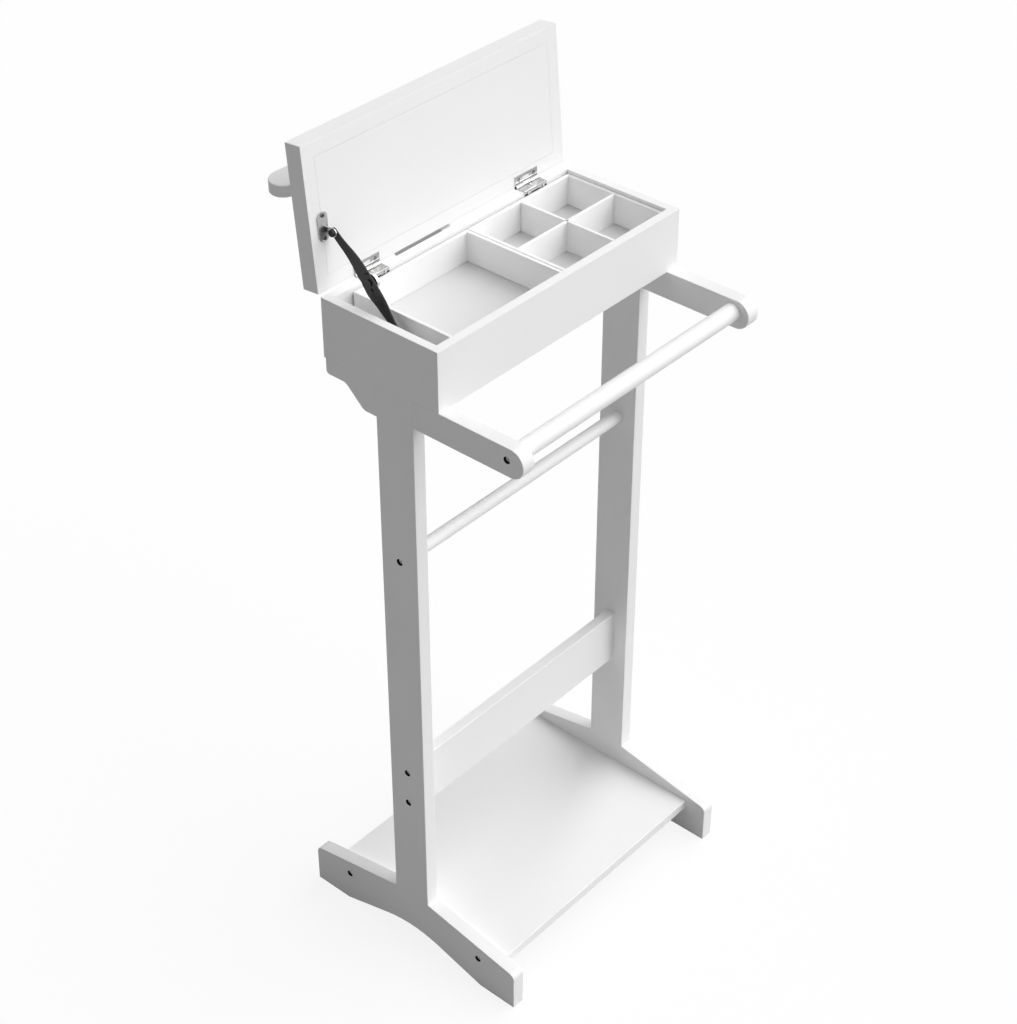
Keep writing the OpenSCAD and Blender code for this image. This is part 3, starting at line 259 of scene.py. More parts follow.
# Each finish by its slot, and three more for parts of painted pieces: painted shade on the tray
# floors and in the bolt holes, and painted light on the tray walls. Sizes are repeats per metre;
# a stretch below 1 draws the pattern out along that axis
finishes = {
    "painted_wood": {
        "colour": (0.92, 0.92, 0.92, 1), "metallic": 0.0, "roughness": (0.42, 0.52),
        "patchSize": 7, "patchDepth": 0.012, "grainSize": 700, "bump": 0.05,
        "bumpDepth": 0.0002, "specular": 0.35, "stretch": (1, 1, 1),
    },
    "shadedTrayFloor": {               # painted shade: the thin board in the trays, in a darker copy of the white paint for the shade between the walls
        "colour": (0.75, 0.75, 0.75, 1), "metallic": 0.0, "roughness": (0.45, 0.6),
        "patchSize": 9, "patchDepth": 0.02, "grainSize": 500, "bump": 0.08,
        "bumpDepth": 0.0002, "specular": 0.3, "stretch": (1, 1, 1),
    },
    "litTrayWall": {                # painted light: the trays in a brighter copy of the stand's white paint, for light bounced about in the box
        "colour": (0.97, 0.97, 0.97, 1), "metallic": 0.0, "roughness": (0.42, 0.52),
        "patchSize": 7, "patchDepth": 0.01, "grainSize": 700, "bump": 0.05,
        "bumpDepth": 0.0002, "specular": 0.35, "stretch": (1, 1, 1),
    },
    "paintedBoreShade": {                # painted shade: near-black walls of the bolt holes, for the deep shade in them
        "colour": (0.015, 0.015, 0.015, 1), "metallic": 0.0, "roughness": (0.8, 0.95),
        "patchSize": 200, "patchDepth": 0.3, "grainSize": 900, "bump": 0.2,
        "bumpDepth": 0.0002, "specular": 0.1, "stretch": (1, 1, 1),
    },
    "beech": {
        "colour": (0.62, 0.42, 0.24, 1), "metallic": 0.0, "roughness": (0.5, 0.7),
        "patchSize": 60, "patchDepth": 0.45, "grainSize": 900, "bump": 0.3,
        "bumpDepth": 0.0003, "specular": 0.3, "stretch": (1, 0.08, 0.08),
    },
    "nickel_steel": {
        "colour": (0.56, 0.56, 0.555, 1), "metallic": 1.0, "roughness": (0.2, 0.34),
        "patchSize": 120, "patchDepth": 0.12, "grainSize": 2600, "bump": 0.12,
        "bumpDepth": 0.0001, "specular": 0.5, "stretch": (0.12, 1, 1),
    },
    "chrome_steel": {
        "colour": (0.80, 0.80, 0.81, 1), "metallic": 1.0, "roughness": (0.06, 0.14),
        "patchSize": 90, "patchDepth": 0.05, "grainSize": 1800, "bump": 0.04,
        "bumpDepth": 0.0001, "specular": 0.5, "stretch": (1, 1, 1),
    },
    "zinc_steel": {
        "colour": (0.56, 0.58, 0.60, 1), "metallic": 1.0, "roughness": (0.32, 0.5),
        "patchSize": 200, "patchDepth": 0.2, "grainSize": 1500, "bump": 0.15,
        "bumpDepth": 0.0001, "specular": 0.5, "stretch": (1, 1, 1),
    },
    "black_steel": {
        "colour": (0.010, 0.010, 0.011, 1), "metallic": 0.0, "roughness": (0.18, 0.28),
        "patchSize": 45, "patchDepth": 0.25, "grainSize": 1400, "bump": 0.05,
        "bumpDepth": 0.0001, "specular": 0.28, "stretch": (1, 1, 1),
    },
}


def makeFinish(name, setup):
    # Principled shader with the group's colour and roughness, and its grain as a fine
    # bump, on Object coordinates times stretch
    material = bpy.data.materials.new(name)
    material.use_nodes = True
    tree = material.node_tree
    tree.nodes.clear()
    link = tree.links.new
    place = addNode(tree, "ShaderNodeTexCoord")
    mapping = addNode(tree, "ShaderNodeMapping")
    mapping.inputs["Scale"].default_value = setup["stretch"]
    skin = addNode(tree, "ShaderNodeGroup", node_tree=finishGroup)
    skin.inputs["Colour"].default_value = setup["colour"]
    skin.inputs["Patch Size"].default_value = setup["patchSize"]
    skin.inputs["Patch Depth"].default_value = setup["patchDepth"]
    skin.inputs["Grain Size"].default_value = setup["grainSize"]
    leastRough, mostRough = setup["roughness"]
    skin.inputs["Least Roughness"].default_value = leastRough
    skin.inputs["Most Roughness"].default_value = mostRough
    bump = addNode(tree, "ShaderNodeBump")
    bump.inputs["Strength"].default_value = setup["bump"]
    bump.inputs["Distance"].default_value = setup["bumpDepth"]
    shader = addNode(tree, "ShaderNodeBsdfPrincipled")
    shader.inputs["Metallic"].default_value = setup["metallic"]
    shader.inputs["Specular IOR Level"].default_value = setup["specular"]
    out = addNode(tree, "ShaderNodeOutputMaterial")
    link(place.outputs["Object"], mapping.inputs["Vector"])
    link(mapping.outputs[0], skin.inputs["Place"])
    link(skin.outputs["Colour"], shader.inputs["Base Color"])
    link(skin.outputs["Roughness"], shader.inputs["Roughness"])
    link(skin.outputs["Grain"], bump.inputs["Height"])
    link(bump.outputs[0], shader.inputs["Normal"])
    link(shader.outputs[0], out.inputs["Surface"])
    return material


materials = {slot: makeFinish(slot, setup) for slot, setup in finishes.items()}
print("finishes made:", ", ".join(materials))


# Where each CAD node rides and which finish it takes
bodyOf = {node: body for body, nodes in frame["record"]["behaviour"]["bodies"].items()
          for node in nodes}
slotOf = {part["node"]: part["material_slot"] for part in frame["record"]["subparts"]}


def spanOf(*names):
    # Lowest and highest corner of several CAD nodes together
    boxes = np.array([[list(corner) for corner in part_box(name)] for name in names])
    return boxes[:, 0].min(axis=0), boxes[:, 1].max(axis=0)


def cornersOf(node):
    # Every corner of a CAD node, one row of x, y and z each
    vertices = frame["nodes"][node].data.vertices
    corners = np.empty(3 * len(vertices))
    vertices.foreach_get("co", corners)
    return corners.reshape(-1, 3)


def jointNamed(name):
    # A joint of the stand, by its name
    return next(joint for joint in frame["joints"] if joint["name"] == name)


def addPiece(name, mesh, replaced, body=None, slot=None, finish=None):
    # The piece stands for the CAD nodes, rides with them and takes their finish, unless
    # another body, slot or finish is named
    piece = bpy.data.objects.new(name, mesh)
    bpy.context.scene.collection.objects.link(piece)
    body = body or bodyOf[replaced[0]]
    slot = slot or slotOf[replaced[0]]
    mesh.materials.append(materials[finish or slot])
    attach(piece, body)
    if replaced:
        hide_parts(*replaced)
    return piece


# What every drawn surface shares
surfaceLook = {
    "merge": 0.0001 * mm,
    "sharpAngle": 38,            # degrees; sharper edges stay creased
    "flatWeight": 100,           # how much the larger faces set the shading
}

# Easing of copied solids
easing = {
    "sharpAngle": 35,            # degrees; only sharper edges are rounded
    "flatAngle": 0.15,           # degrees; flatter faces are joined
    "weld": 0.002 * mm,
    "flushShare": 0.25,          # share of the round left where boards butt
    "flushGap": 0.05 * mm,       # how near to a flush plane an edge lies in it
    "boreGap": 1.2 * mm,         # how near to a bolt the wall of its hole is
    "boreTilt": 0.2,             # most X in the direction that such a wall faces
}


def easedCopy(node, radius, segments=3, flushPlanes=(), slot=None, bolts=()):
    # Copy of a CAD solid, welded, with flat faces joined and sharp edges rounded. Edges
    # in a flush plane (axis, level) butt against a neighbour and get only a hairline
    # round; the walls of the bolt holes get painted shade, a near-black second finish
    mesh = bpy.data.meshes.new(node + "_eased")
    shape = bmesh.new()
    shape.from_mesh(frame["nodes"][node].data)
    bmesh.ops.remove_doubles(shape, verts=shape.verts, dist=easing["weld"])
    bmesh.ops.dissolve_limit(
        shape, angle_limit=math.radians(easing["flatAngle"]),
        use_dissolve_boundaries=False, verts=shape.verts, edges=shape.edges)
    weight = shape.edges.layers.float.new("bevel_weight_edge")
    for edge in shape.edges:
        if edge.calc_face_angle(0) > math.radians(easing["sharpAngle"]):
            ends = [vert.co for vert in edge.verts]
            flush = any(all(abs(end[axis] - level) < easing["flushGap"] for end in ends)
                        for axis, level in flushPlanes)
            edge[weight] = easing["flushShare"] if flush else 1
    heads = np.concatenate([cornersOf(bolt) for bolt in bolts]) if bolts else None
    for face in shape.faces:
        face.smooth = True
        # Painted shade: faces of the bolt holes' walls take the near-black second finish
        if bolts and abs(face.normal.x) < easing["boreTilt"]:
            middle = face.calc_center_median()
            gap = np.hypot(heads[:, 1] - middle.y, heads[:, 2] - middle.z).min()
            face.material_index = int(gap < easing["boreGap"])
    shape.to_mesh(mesh)
    shape.free()
    piece = addPiece(node + "_eased", mesh, [node], slot=slot)
    if bolts:
        mesh.materials.append(materials["paintedBoreShade"])
    bevel = piece.modifiers.new("easedEdges", "BEVEL")
    bevel.limit_method = "WEIGHT"
    bevel.width = radius
    bevel.segments = segments
    bevel.use_clamp_overlap = False
    bevel.loop_slide = False
    evenShade = piece.modifiers.new("evenShade", "WEIGHTED_NORMAL")
    evenShade.weight = surfaceLook["flatWeight"]
    return piece


def gridFaces(rows, columns, closedRows, closedColumns):
    # Quads between neighbouring rows and columns of a grid of points, and from the last
    # to the first where the grid is closed
    r, c = np.meshgrid(np.arange(rows if closedRows else rows - 1),
                       np.arange(columns if closedColumns else columns - 1), indexing="ij")
    nextRow, nextColumn = (r + 1) % rows, (c + 1) % columns
    quads = [r * columns + c, r * columns + nextColumn,
             nextRow * columns + nextColumn, nextRow * columns + c]
    return np.stack(quads, axis=-1).reshape(-1, 4)


def surfacePiece(name, surfaces, replaced, **look):
    # One mesh from several grids, each (points, closedRows, closedColumns), with its
    # doubles merged, its faces turned outwards and its sharp edges kept
    points, faces, count = [], [], 0
    for grid, closedRows, closedColumns in surfaces:
        points.append(grid.reshape(-1, 3))
        faces.append(gridFaces(*grid.shape[:2], closedRows, closedColumns) + count)
        count += points[-1].shape[0]
    mesh = bpy.data.meshes.new(name)
    mesh.from_pydata(np.concatenate(points), [], np.concatenate(faces).tolist())
    shape = bmesh.new()
    shape.from_mesh(mesh)
    bmesh.ops.remove_doubles(shape, verts=shape.verts, dist=surfaceLook["merge"])
    bmesh.ops.dissolve_degenerate(shape, edges=shape.edges, dist=surfaceLook["merge"])
    bmesh.ops.recalc_face_normals(shape, faces=shape.faces)
    shape.to_mesh(mesh)
    shape.free()
    mesh.shade_smooth()
    mesh.set_sharp_from_angle(angle=math.radians(surfaceLook["sharpAngle"]))
    piece = addPiece(name, mesh, replaced, **look)
    evenShade = piece.modifiers.new("evenShade", "WEIGHTED_NORMAL")
    evenShade.keep_sharp = True
    evenShade.weight = surfaceLook["flatWeight"]
    return piece


def roundRows(inset, height, radius, fromAngle, toAngle, steps=4):
    # Rows (inset, height) on a circle about a centre, between two angles in degrees
    angle = np.radians(np.linspace(fromAngle, toAngle, steps + 1))
    return np.column_stack([inset + radius * np.cos(angle),
                            height + radius * np.sin(angle)])


def ringSurface(low, high, profile, cornerRadius, steps=4):
    # Rectangle seen from above: each row (inset, height) of the profile goes once round
    # it, with corners that are quarter circles of the corner radius less the inset, or
    # square where the inset is larger
    inset, height = np.asarray(profile, float).T
    reach = np.maximum(inset, cornerRadius)[:, None]
    radius = np.maximum(cornerRadius - inset, 0)[:, None]
    columns = []
    for quarter, (right, rear) in enumerate([(1, 1), (0, 1), (0, 0), (1, 0)]):
        angle = np.radians(90 * quarter + np.linspace(0, 90, steps + 1))[None, :]
        x = (high[0] - reach if right else low[0] + reach) + radius * np.cos(angle)
        y = (high[1] - reach if rear else low[1] + reach) + radius * np.sin(angle)
        z = np.broadcast_to(height[:, None], x.shape)
        columns.append(np.stack([x, y, z], axis=-1))
    return np.concatenate(columns, axis=1)


def boardRows(low, high, ease):
    # Section of a closed board with eased edges, from the middle of its underside to
    # the middle of its top
    half = min(high[0] - low[0], high[1] - low[1]) / 2
    return np.concatenate([
        [(half, low[2])],
        roundRows(ease, low[2] + ease, ease, 270, 180),
        roundRows(ease, high[2] - ease, ease, 180, 90),
        [(half, high[2])],
    ])


def trimPiece(name, grids, body, slot):
    # Several closed bits of trim as one piece, which stands for no CAD node
    surfacePiece(name, [(grid, False, True) for grid in grids], [], body=body, slot=slot)


def boardPiece(name, replaced, ease, shrink=(0, 0), **look):
    # Board with eased edges in its CAD node's box, short of its neighbours by shrink
    low, high = spanOf(*replaced)
    low[:2] += shrink
    high[:2] -= shrink
    grid = ringSurface(low, high, boardRows(low, high, ease), ease)
    return surfacePiece(name, [(grid, False, True)], replaced, **look)


def turnedSurface(rows, start, axis, steps=64):
    # Surface of revolution: start + distance * axis + radius * (cos * side + sin * up),
    # for rows (distance, radius)
    rows = np.asarray(rows, float)
    axis = np.asarray(axis, float) / np.linalg.norm(axis)
    side = np.cross(axis, (0, 0, 1) if abs(axis[2]) < 0.9 else (0, 1, 0))
    side /= np.linalg.norm(side)
    angle = np.linspace(0, 2 * np.pi, steps, endpoint=False)
    around = np.cos(angle)[:, None] * side + np.sin(angle)[:, None] * np.cross(axis, side)
    return (np.asarray(start, float) + rows[:, 0, None, None] * axis
            + rows[:, 1, None, None] * around[None])


# Side frames, arms, stretcher, shelf and hanger board
boards = {"edge": 0.9 * mm}      # round of the boards' edges


def makeBoards(setup):
    # Each board is the CAD solid with rounded edges, flush where it butts
    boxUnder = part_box("box_left_end")[0].z
    for node in ["side_frame_left", "side_frame_right"]:
        easedCopy(node, setup["edge"], flushPlanes=[(2, boxUnder)],
                  bolts=["lower_rod_bolts", "stretcher_bolts", "shelf_bolts"])
    for node in ["arm_left", "arm_right"]:
        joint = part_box(node)[1].y
        easedCopy(node, setup["edge"], flushPlanes=[(1, joint)],
                  bolts=["trouser_bar_bolts"])
    for node in ["stretcher", "shoe_shelf"]:
        low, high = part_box(node)
        easedCopy(node, setup["edge"], flushPlanes=[(0, low.x), (0, high.x)])
    low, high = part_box("hanger_support")
    easedCopy("hanger_support", setup["edge"],
              flushPlanes=[(1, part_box("box_rear")[1].y), (2, high.z)])


makeBoards(boards)
print("boards eased")


# Trouser bar and lower rod, turned, with a slight break at each end
bars = {"endBreak": 0.6 * mm, "steps": 96, "nodes": ["trouser_bar", "lower_rod"]}


def makeBars(setup):
    # Turned about X: a quarter circle out to the bar's radius, straight on, and back
    for node in setup["nodes"]:
        low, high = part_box(node)
        radius = (high.z - low.z) / 2
        length = high.x - low.x
        rim = roundRows(0, 0, setup["endBreak"], 180, 90)
        nearEnd = rim + (setup["endBreak"], radius - setup["endBreak"])
        farEnd = nearEnd[::-1] * (-1, 1) + (length, 0)
        rows = np.concatenate([[(0, 0)], nearEnd, farEnd, [(length, 0)]])
        start = (low.x, (low.y + high.y) / 2, (low.z + high.z) / 2)
        grid = turnedSurface(rows, start, (1, 0, 0), setup["steps"])
        surfacePiece(node + "_turned", [(grid, False, True)], [node])


makeBars(bars)
print("bars turned")


# Box: the four walls as one painted shell, the bottom, and the ledges inside
boxLook = {
    "rimEdge": 0.5 * mm,         # round of the upper rim and the upright corners
    "underEdge": 0.3 * mm,       # hairline where the box meets the side frames
    "ledgeEdge": 0.6 * mm,
    "bottomEdge": 0.2 * mm,
}


def makeBox(setup):
    # Section of a wall, up its outside, over the rim and down its inside, once round the
    # box; the bottom and the ledges are boards of their own
    walls = ["box_front", "box_rear", "box_left_end", "box_right_end"]
    low, high = spanOf(*walls)
    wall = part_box("box_front")[1].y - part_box("box_front")[0].y
    rim, under = setup["rimEdge"], setup["underEdge"]
    profile = np.concatenate([
        roundRows(under, low[2] + under, under, 270, 180),
        roundRows(rim, high[2] - rim, rim, 180, 90),
        roundRows(wall - rim, high[2] - rim, rim, 90, 0),
        [(wall, low[2])],
    ])
    grid = ringSurface(low, high, profile, rim)
    surfacePiece("box_shell", [(grid, True, True)], walls)
    easedCopy("box_bottom", setup["bottomEdge"], segments=2)
    for node in ["tray_ledge_front", "tray_ledge_rear"]:
        boardPiece(node + "_eased", [node], setup["ledgeEdge"])


makeBox(boxLook)
print("box built")


# Trays: walls in one ring round a rebated floor, and two crossing dividers
trayLook = {
    "wall": 5 * mm,
    "rimEdge": 0.7 * mm,
    "cornerEdge": 1.0 * mm,
    "floorEdge": 0.4 * mm,
    "floorJoint": 0.4 * mm,      # open joint between the walls and the floor
    "sideGap": 0.4 * mm,         # each tray's ends stand back, so that a dark joint shows
    "dividerEdge": 0.5 * mm,
    "dividerGap": 0.3 * mm,      # open joint at the ends of the dividers
}


def makeTray(node, floorNode, setup):
    # Section of a wall, with a rebate under it for the floor, once round the tray
    low, high = spanOf(node)
    low[0] += setup["sideGap"]
    high[0] -= setup["sideGap"]
    floorLow, floorHigh = spanOf(floorNode)
    wall, rim, foot = setup["wall"], setup["rimEdge"], setup["floorEdge"]
    joint, rebate = setup["floorJoint"], floorLow[0] - low[0]
    profile = np.concatenate([
        roundRows(foot, low[2] + foot, foot, 270, 180),
        roundRows(rim, high[2] - rim, rim, 180, 90),
        roundRows(wall - rim, high[2] - rim, rim, 90, 0),
        [(wall, floorHigh[2] + joint), (rebate, floorHigh[2] + joint), (rebate, low[2])],
    ])
    grid = ringSurface(low, high, profile, setup["cornerEdge"])
    # Painted light: the walls in a brighter copy of the white paint
    surfacePiece(node + "_walls", [(grid, True, True)], [node], finish="litTrayWall")
    # Painted shade: the floor in a darker copy of the white paint
    boardPiece(floorNode + "_eased", [floorNode], setup["floorEdge"], finish="shadedTrayFloor")


makeTray("tray_open", "tray_open_floor", trayLook)
makeTray("tray_divided", "tray_divided_floor", trayLook)
# The dividers take the same painted light as the tray walls
boardPiece("tray_divider_long_eased", ["tray_divider_long"], trayLook["dividerEdge"],
           (trayLook["dividerGap"], 0), finish="litTrayWall")
boardPiece("tray_divider_cross_eased", ["tray_divider_cross"], trayLook["dividerEdge"],
           (0, trayLook["dividerGap"]), finish="litTrayWall")
print("trays built")


# Lid, drawn closed over the box and turned open about the hinges as the frame has it
lidJoint = jointNamed("lid_hinge")
hingeAxis = np.array(lidJoint["pos_m"])
lidAngle = math.radians(lidJoint["range_deg"][0])
lidLook = {
    "thickness": 25 * mm,
    "frame": 19.5 * mm,          # width of the frame round the panel
    "panel": 15 * mm,            # thickness of the flush panel
    "groove": 0.25 * mm,
    "edge": 1.0 * mm,            # round of the outer edges of the top
    "underEdge": 0.3 * mm,       # round of the edge that closes on the box
    "grooveEdge": 0.1 * mm,
    "rearProud": 1.9 * mm,       # how far the hinged edge stands behind the box
}


def turnLid(points, angle):
    # Turn about the hinge axis, along X: y cos - z sin, y sin + z cos
    c, s = math.cos(angle), math.sin(angle)
    x, y, z = np.moveaxis(points - hingeAxis, -1, 0)
    return np.stack([x, c * y - s * z, s * y + c * z], axis=-1) + hingeAxis


def openLid(points):
    # The closed lid's points where they are with the lid open
    return turnLid(points, lidAngle)


def makeLid(setup):
    # Section from the middle of the top over the edge to the underside and up into the
    # pocket, once round; the panel is a board that fills the pocket but for the groove
    low, high = spanOf("box_front", "box_rear")
    under = 2 * hingeAxis[2] - high[2]
    low[2], high[2] = under, under + setup["thickness"]
    high[1] += setup["rearProud"]
    half = min(high[0] - low[0], high[1] - low[1]) / 2
    edge, lowEdge, fine = setup["edge"], setup["underEdge"], setup["grooveEdge"]
    rail = setup["frame"]
    pocket = under + setup["panel"]
    profile = np.concatenate([
        [(half, high[2])],
        roundRows(edge, high[2] - edge, edge, 90, 180),
        roundRows(lowEdge, under + lowEdge, lowEdge, 180, 270),
        roundRows(rail - fine, under + fine, fine, 270, 360),
        [(rail, pocket), (half, pocket)],
    ])
    grid = openLid(ringSurface(low, high, profile, edge))
    surfacePiece("lid_frame_eased", [(grid, False, True)], ["lid_frame"])
    inset = rail + setup["groove"]
    panelLow = low + (inset, inset, 0)
    panelHigh = np.array([high[0] - inset, high[1] - inset, pocket])
    grid = ringSurface(panelLow, panelHigh, boardRows(panelLow, panelHigh, fine), fine)
    surfacePiece("lid_panel_eased", [(openLid(grid), False, True)], ["lid_panel"])


makeLid(lidLook)
print("lid built")


# Coat hanger: seen from above a bent bar with half-round ends, its top and underside on
# two circles about one centre, with all edges rounded
hangerLook = {
    "curve": 2.5,                # radius of the top across the shoulders
    "depth": 43 * mm,            # front to back in the middle
    "endDepth": 40.8 * mm,
    "sweep": 9 * mm,             # how far the ends bend back
    "thickness": 16 * mm,
    "edge": 1.5 * mm,
    "steps": 72,                 # along each side
    "endSteps": 24,              # round each end
}


def makeHanger(setup):
    # Outline: feet on an arc plus the way outwards, half the depth along the sides and
    # half the end depth round the ends. Each row pulls it in by the rounded edge, and its
    # height lies between the two circles of the top and the underside
    low, high = spanOf("hanger")
    endRadius = setup["endDepth"] / 2
    reach = (high[0] - low[0]) / 2 - endRadius
    bend = (reach ** 2 + setup["sweep"] ** 2) / (2 * setup["sweep"])
    middleY = high[1] - endRadius - setup["sweep"]

    def spine(x):
        # Arc that lies back by the sweep at both ends
        return middleY + bend - np.sqrt(bend ** 2 - x ** 2)

    # Feet on the middle line and the way outwards from each, once round the outline
    along = np.linspace(-1, 1, setup["steps"] + 1)
    ends = np.radians(np.linspace(0, 180, setup["endSteps"] + 1))[1:-1]
    halfDepth = setup["depth"] / 2 - (setup["depth"] - setup["endDepth"]) / 2 * along ** 2
    footX = np.concatenate([reach * along, np.full(ends.size, reach),
                            -reach * along, np.full(ends.size, -reach)])
    outX = np.concatenate([0 * along, endRadius * np.sin(ends),
                           0 * along, -endRadius * np.sin(ends)])
    outY = np.concatenate([halfDepth, endRadius * np.cos(ends),
                           -halfDepth, -endRadius * np.cos(ends)])
    wide = np.hypot(outX, outY)
    thickness, edge = setup["thickness"], setup["edge"]
    rows = np.concatenate([
        [(1, 0)], roundRows(edge, edge, edge, 270, 180),
        roundRows(edge, thickness - edge, edge, 180, 90), [(1, thickness)],
    ])
    keep = np.clip(1 - rows[:, 0, None] / wide[None], 0, 1)
    keep[[0, -1]] = 0            # the first and the last row close on the middle line
    x = footX[None] + keep * outX[None]
    y = spine(footX)[None] + keep * outY[None]
    centreZ = high[2] - setup["curve"]
    top = centreZ + np.sqrt(setup["curve"] ** 2 - x ** 2)
    under = centreZ + np.sqrt((setup["curve"] - thickness) ** 2 - x ** 2)
    z = under + (top - under) * rows[:, 1, None] / thickness
    grid = np.stack([x, y, z], axis=-1)
    surfacePiece("hanger_shaped", [(grid, False, True)], ["hanger"])


makeHanger(hangerLook)
print("hanger shaped")


# Metalwork copied from the frame with fine rounds on its edges
metalwork = [
    # nodes, round of the edges, slot where the look differs from the node's own
    (["hinge_wall_leaf_left", "hinge_wall_leaf_right", "hinge_lid_leaf_left",
      "hinge_lid_leaf_right"], 0.15 * mm, None),
    (["stay_lid_bracket", "stay_base_bracket", "stay_disc",
      "hinge_wall_screws", "stay_bracket_screws", "stay_base_screws"], 0.3 * mm, None),
    (["stay_top_rivet", "stay_elbow_rivet", "stay_stop_pin"], 0.4 * mm, "black_steel"),
    (["trouser_bar_bolts", "lower_rod_bolts", "stretcher_bolts", "shelf_bolts"],
     0.3 * mm, "painted_wood"),
]
for nodes, radius, slot in metalwork:
    for node in nodes:
        easedCopy(node, radius, segments=2, slot=slot)
print("metalwork eased")


# Arms of the stay: sickle-shaped flat plates with eased edges. Both edges of each are
# smooth curves through points, in mm: distance from the elbow along the arm, and
# distance to its left
stayArms = {
    "stay_lower_arm": {
        "run": (-78.9, -77.5),       # from the elbow to the other pivot, depth and height
        "leftEdge": [(-12, 12.2), (-4, 12.7), (3, 13.6), (8, 14.6), (12, 14.7),
                     (17.8, 13.9), (24, 12.6), (35.4, 11.7), (47, 10.6), (60, 9.9),
                     (80, 8.4), (100, 6.9), (117.1, 6)],
        "rightEdge": [(-12, -9), (-4.3, -9.2), (6.2, -8.8), (17.1, -8.4), (27.5, -7.2),
                      (37.7, -5), (47.6, -2.4), (57.4, -0.4), (68, 0), (80, -1.4),
                      (95, -4), (110.6, -6.2), (117.1, -6.6)],
        "elbowRound": 11 * mm,
        "endRound": 6.5 * mm,
    },
    "stay_upper_arm": {
        "run": (56.61, 45.51),
        "leftEdge": [(-9.9, 6.9), (0, 6.9), (8.7, 7.1), (20.3, 8.05), (32, 8.2),
                     (43.6, 7.1), (56.6, 5.3), (66.8, 4.9), (72.6, 5.3), (78.2, 5.6)],
        "rightEdge": [(-9.9, -12.9), (1.45, -13.1), (11.25, -13.6), (21.1, -11.9),
                      (31.2, -9.2), (41.4, -7.4), (53, -6.8), (63.9, -6.4), (72.6, -5.75),
                      (78.2, -5.6)],
        "elbowRound": 9.9 * mm,
        "endRound": 5.6 * mm,
    },
}
armPlate = {"edge": 0.3 * mm, "steps": 120, "cornerSteps": 4}


def smoothEdge(points, at):
    # Cubic curve through the points, its slopes taken from the neighbours of each
    x, y = np.asarray(points, float).T * mm
    slope = np.gradient(y, x)
    i = np.clip(np.searchsorted(x, at) - 1, 0, len(x) - 2)
    run = x[i + 1] - x[i]
    t = (at - x[i]) / run
    return ((1 + 2 * t) * (1 - t) ** 2 * y[i] + t * (1 - t) ** 2 * run * slope[i]
            + t ** 2 * (3 - 2 * t) * y[i + 1] + t ** 2 * (t - 1) * run * slope[i + 1])


def makeArm(node, setup, plate):
    # Middle line and half width along the arm. The half width closes at both ends as an
    # ellipse, times the root of 1 - t squared, and a rectangle with round corners is
    # carried along
    low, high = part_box(node)
    elbow = np.array(jointNamed("stay_elbow")["pos_m"][1:])
    run = np.array(setup["run"]) / np.linalg.norm(setup["run"])
    across = np.array([-run[1], run[0]])
    start, end = setup["leftEdge"][0][0] * mm, setup["leftEdge"][-1][0] * mm
    along = (start + end) / 2 - (end - start) / 2 * np.cos(
        np.linspace(0, math.pi, plate["steps"] + 1))
    left = smoothEdge(setup["leftEdge"], along)
    right = smoothEdge(setup["rightEdge"], along)
    fromElbow = np.clip(1 - (along - start) / setup["elbowRound"], 0, 1)
    fromEnd = np.clip(1 - (end - along) / setup["endRound"], 0, 1)
    half = (left - right) / 2 * np.sqrt(1 - fromElbow ** 2) * np.sqrt(1 - fromEnd ** 2)
    middle = (left + right) / 2
    edge, corner = plate["edge"], plate["cornerSteps"]
    angle = np.radians(np.concatenate([np.linspace(turn, turn + 90, corner)
                                       for turn in (0, 90, 180, 270)]))
    side = np.repeat([1, -1, -1, 1], corner)
    face = np.repeat([1, 1, -1, -1], corner)
    reach = np.maximum(half - edge, 0)[:, None]
    ease = np.minimum(edge, half)[:, None]
    offset = middle[:, None] + side * reach + ease * np.cos(angle)
    depth = face * ((high.x - low.x) / 2 - edge) + edge * np.sin(angle)
    flat = elbow + along[:, None, None] * run + offset[..., None] * across
    x = (low.x + high.x) / 2 + np.broadcast_to(depth, offset.shape)
    grid = np.concatenate([x[..., None], flat], axis=-1)
    surfacePiece(node + "_shaped", [(grid, False, True)], [node])


for node, setup in stayArms.items():
    makeArm(node, setup, armPlate)
print("stay arms shaped")


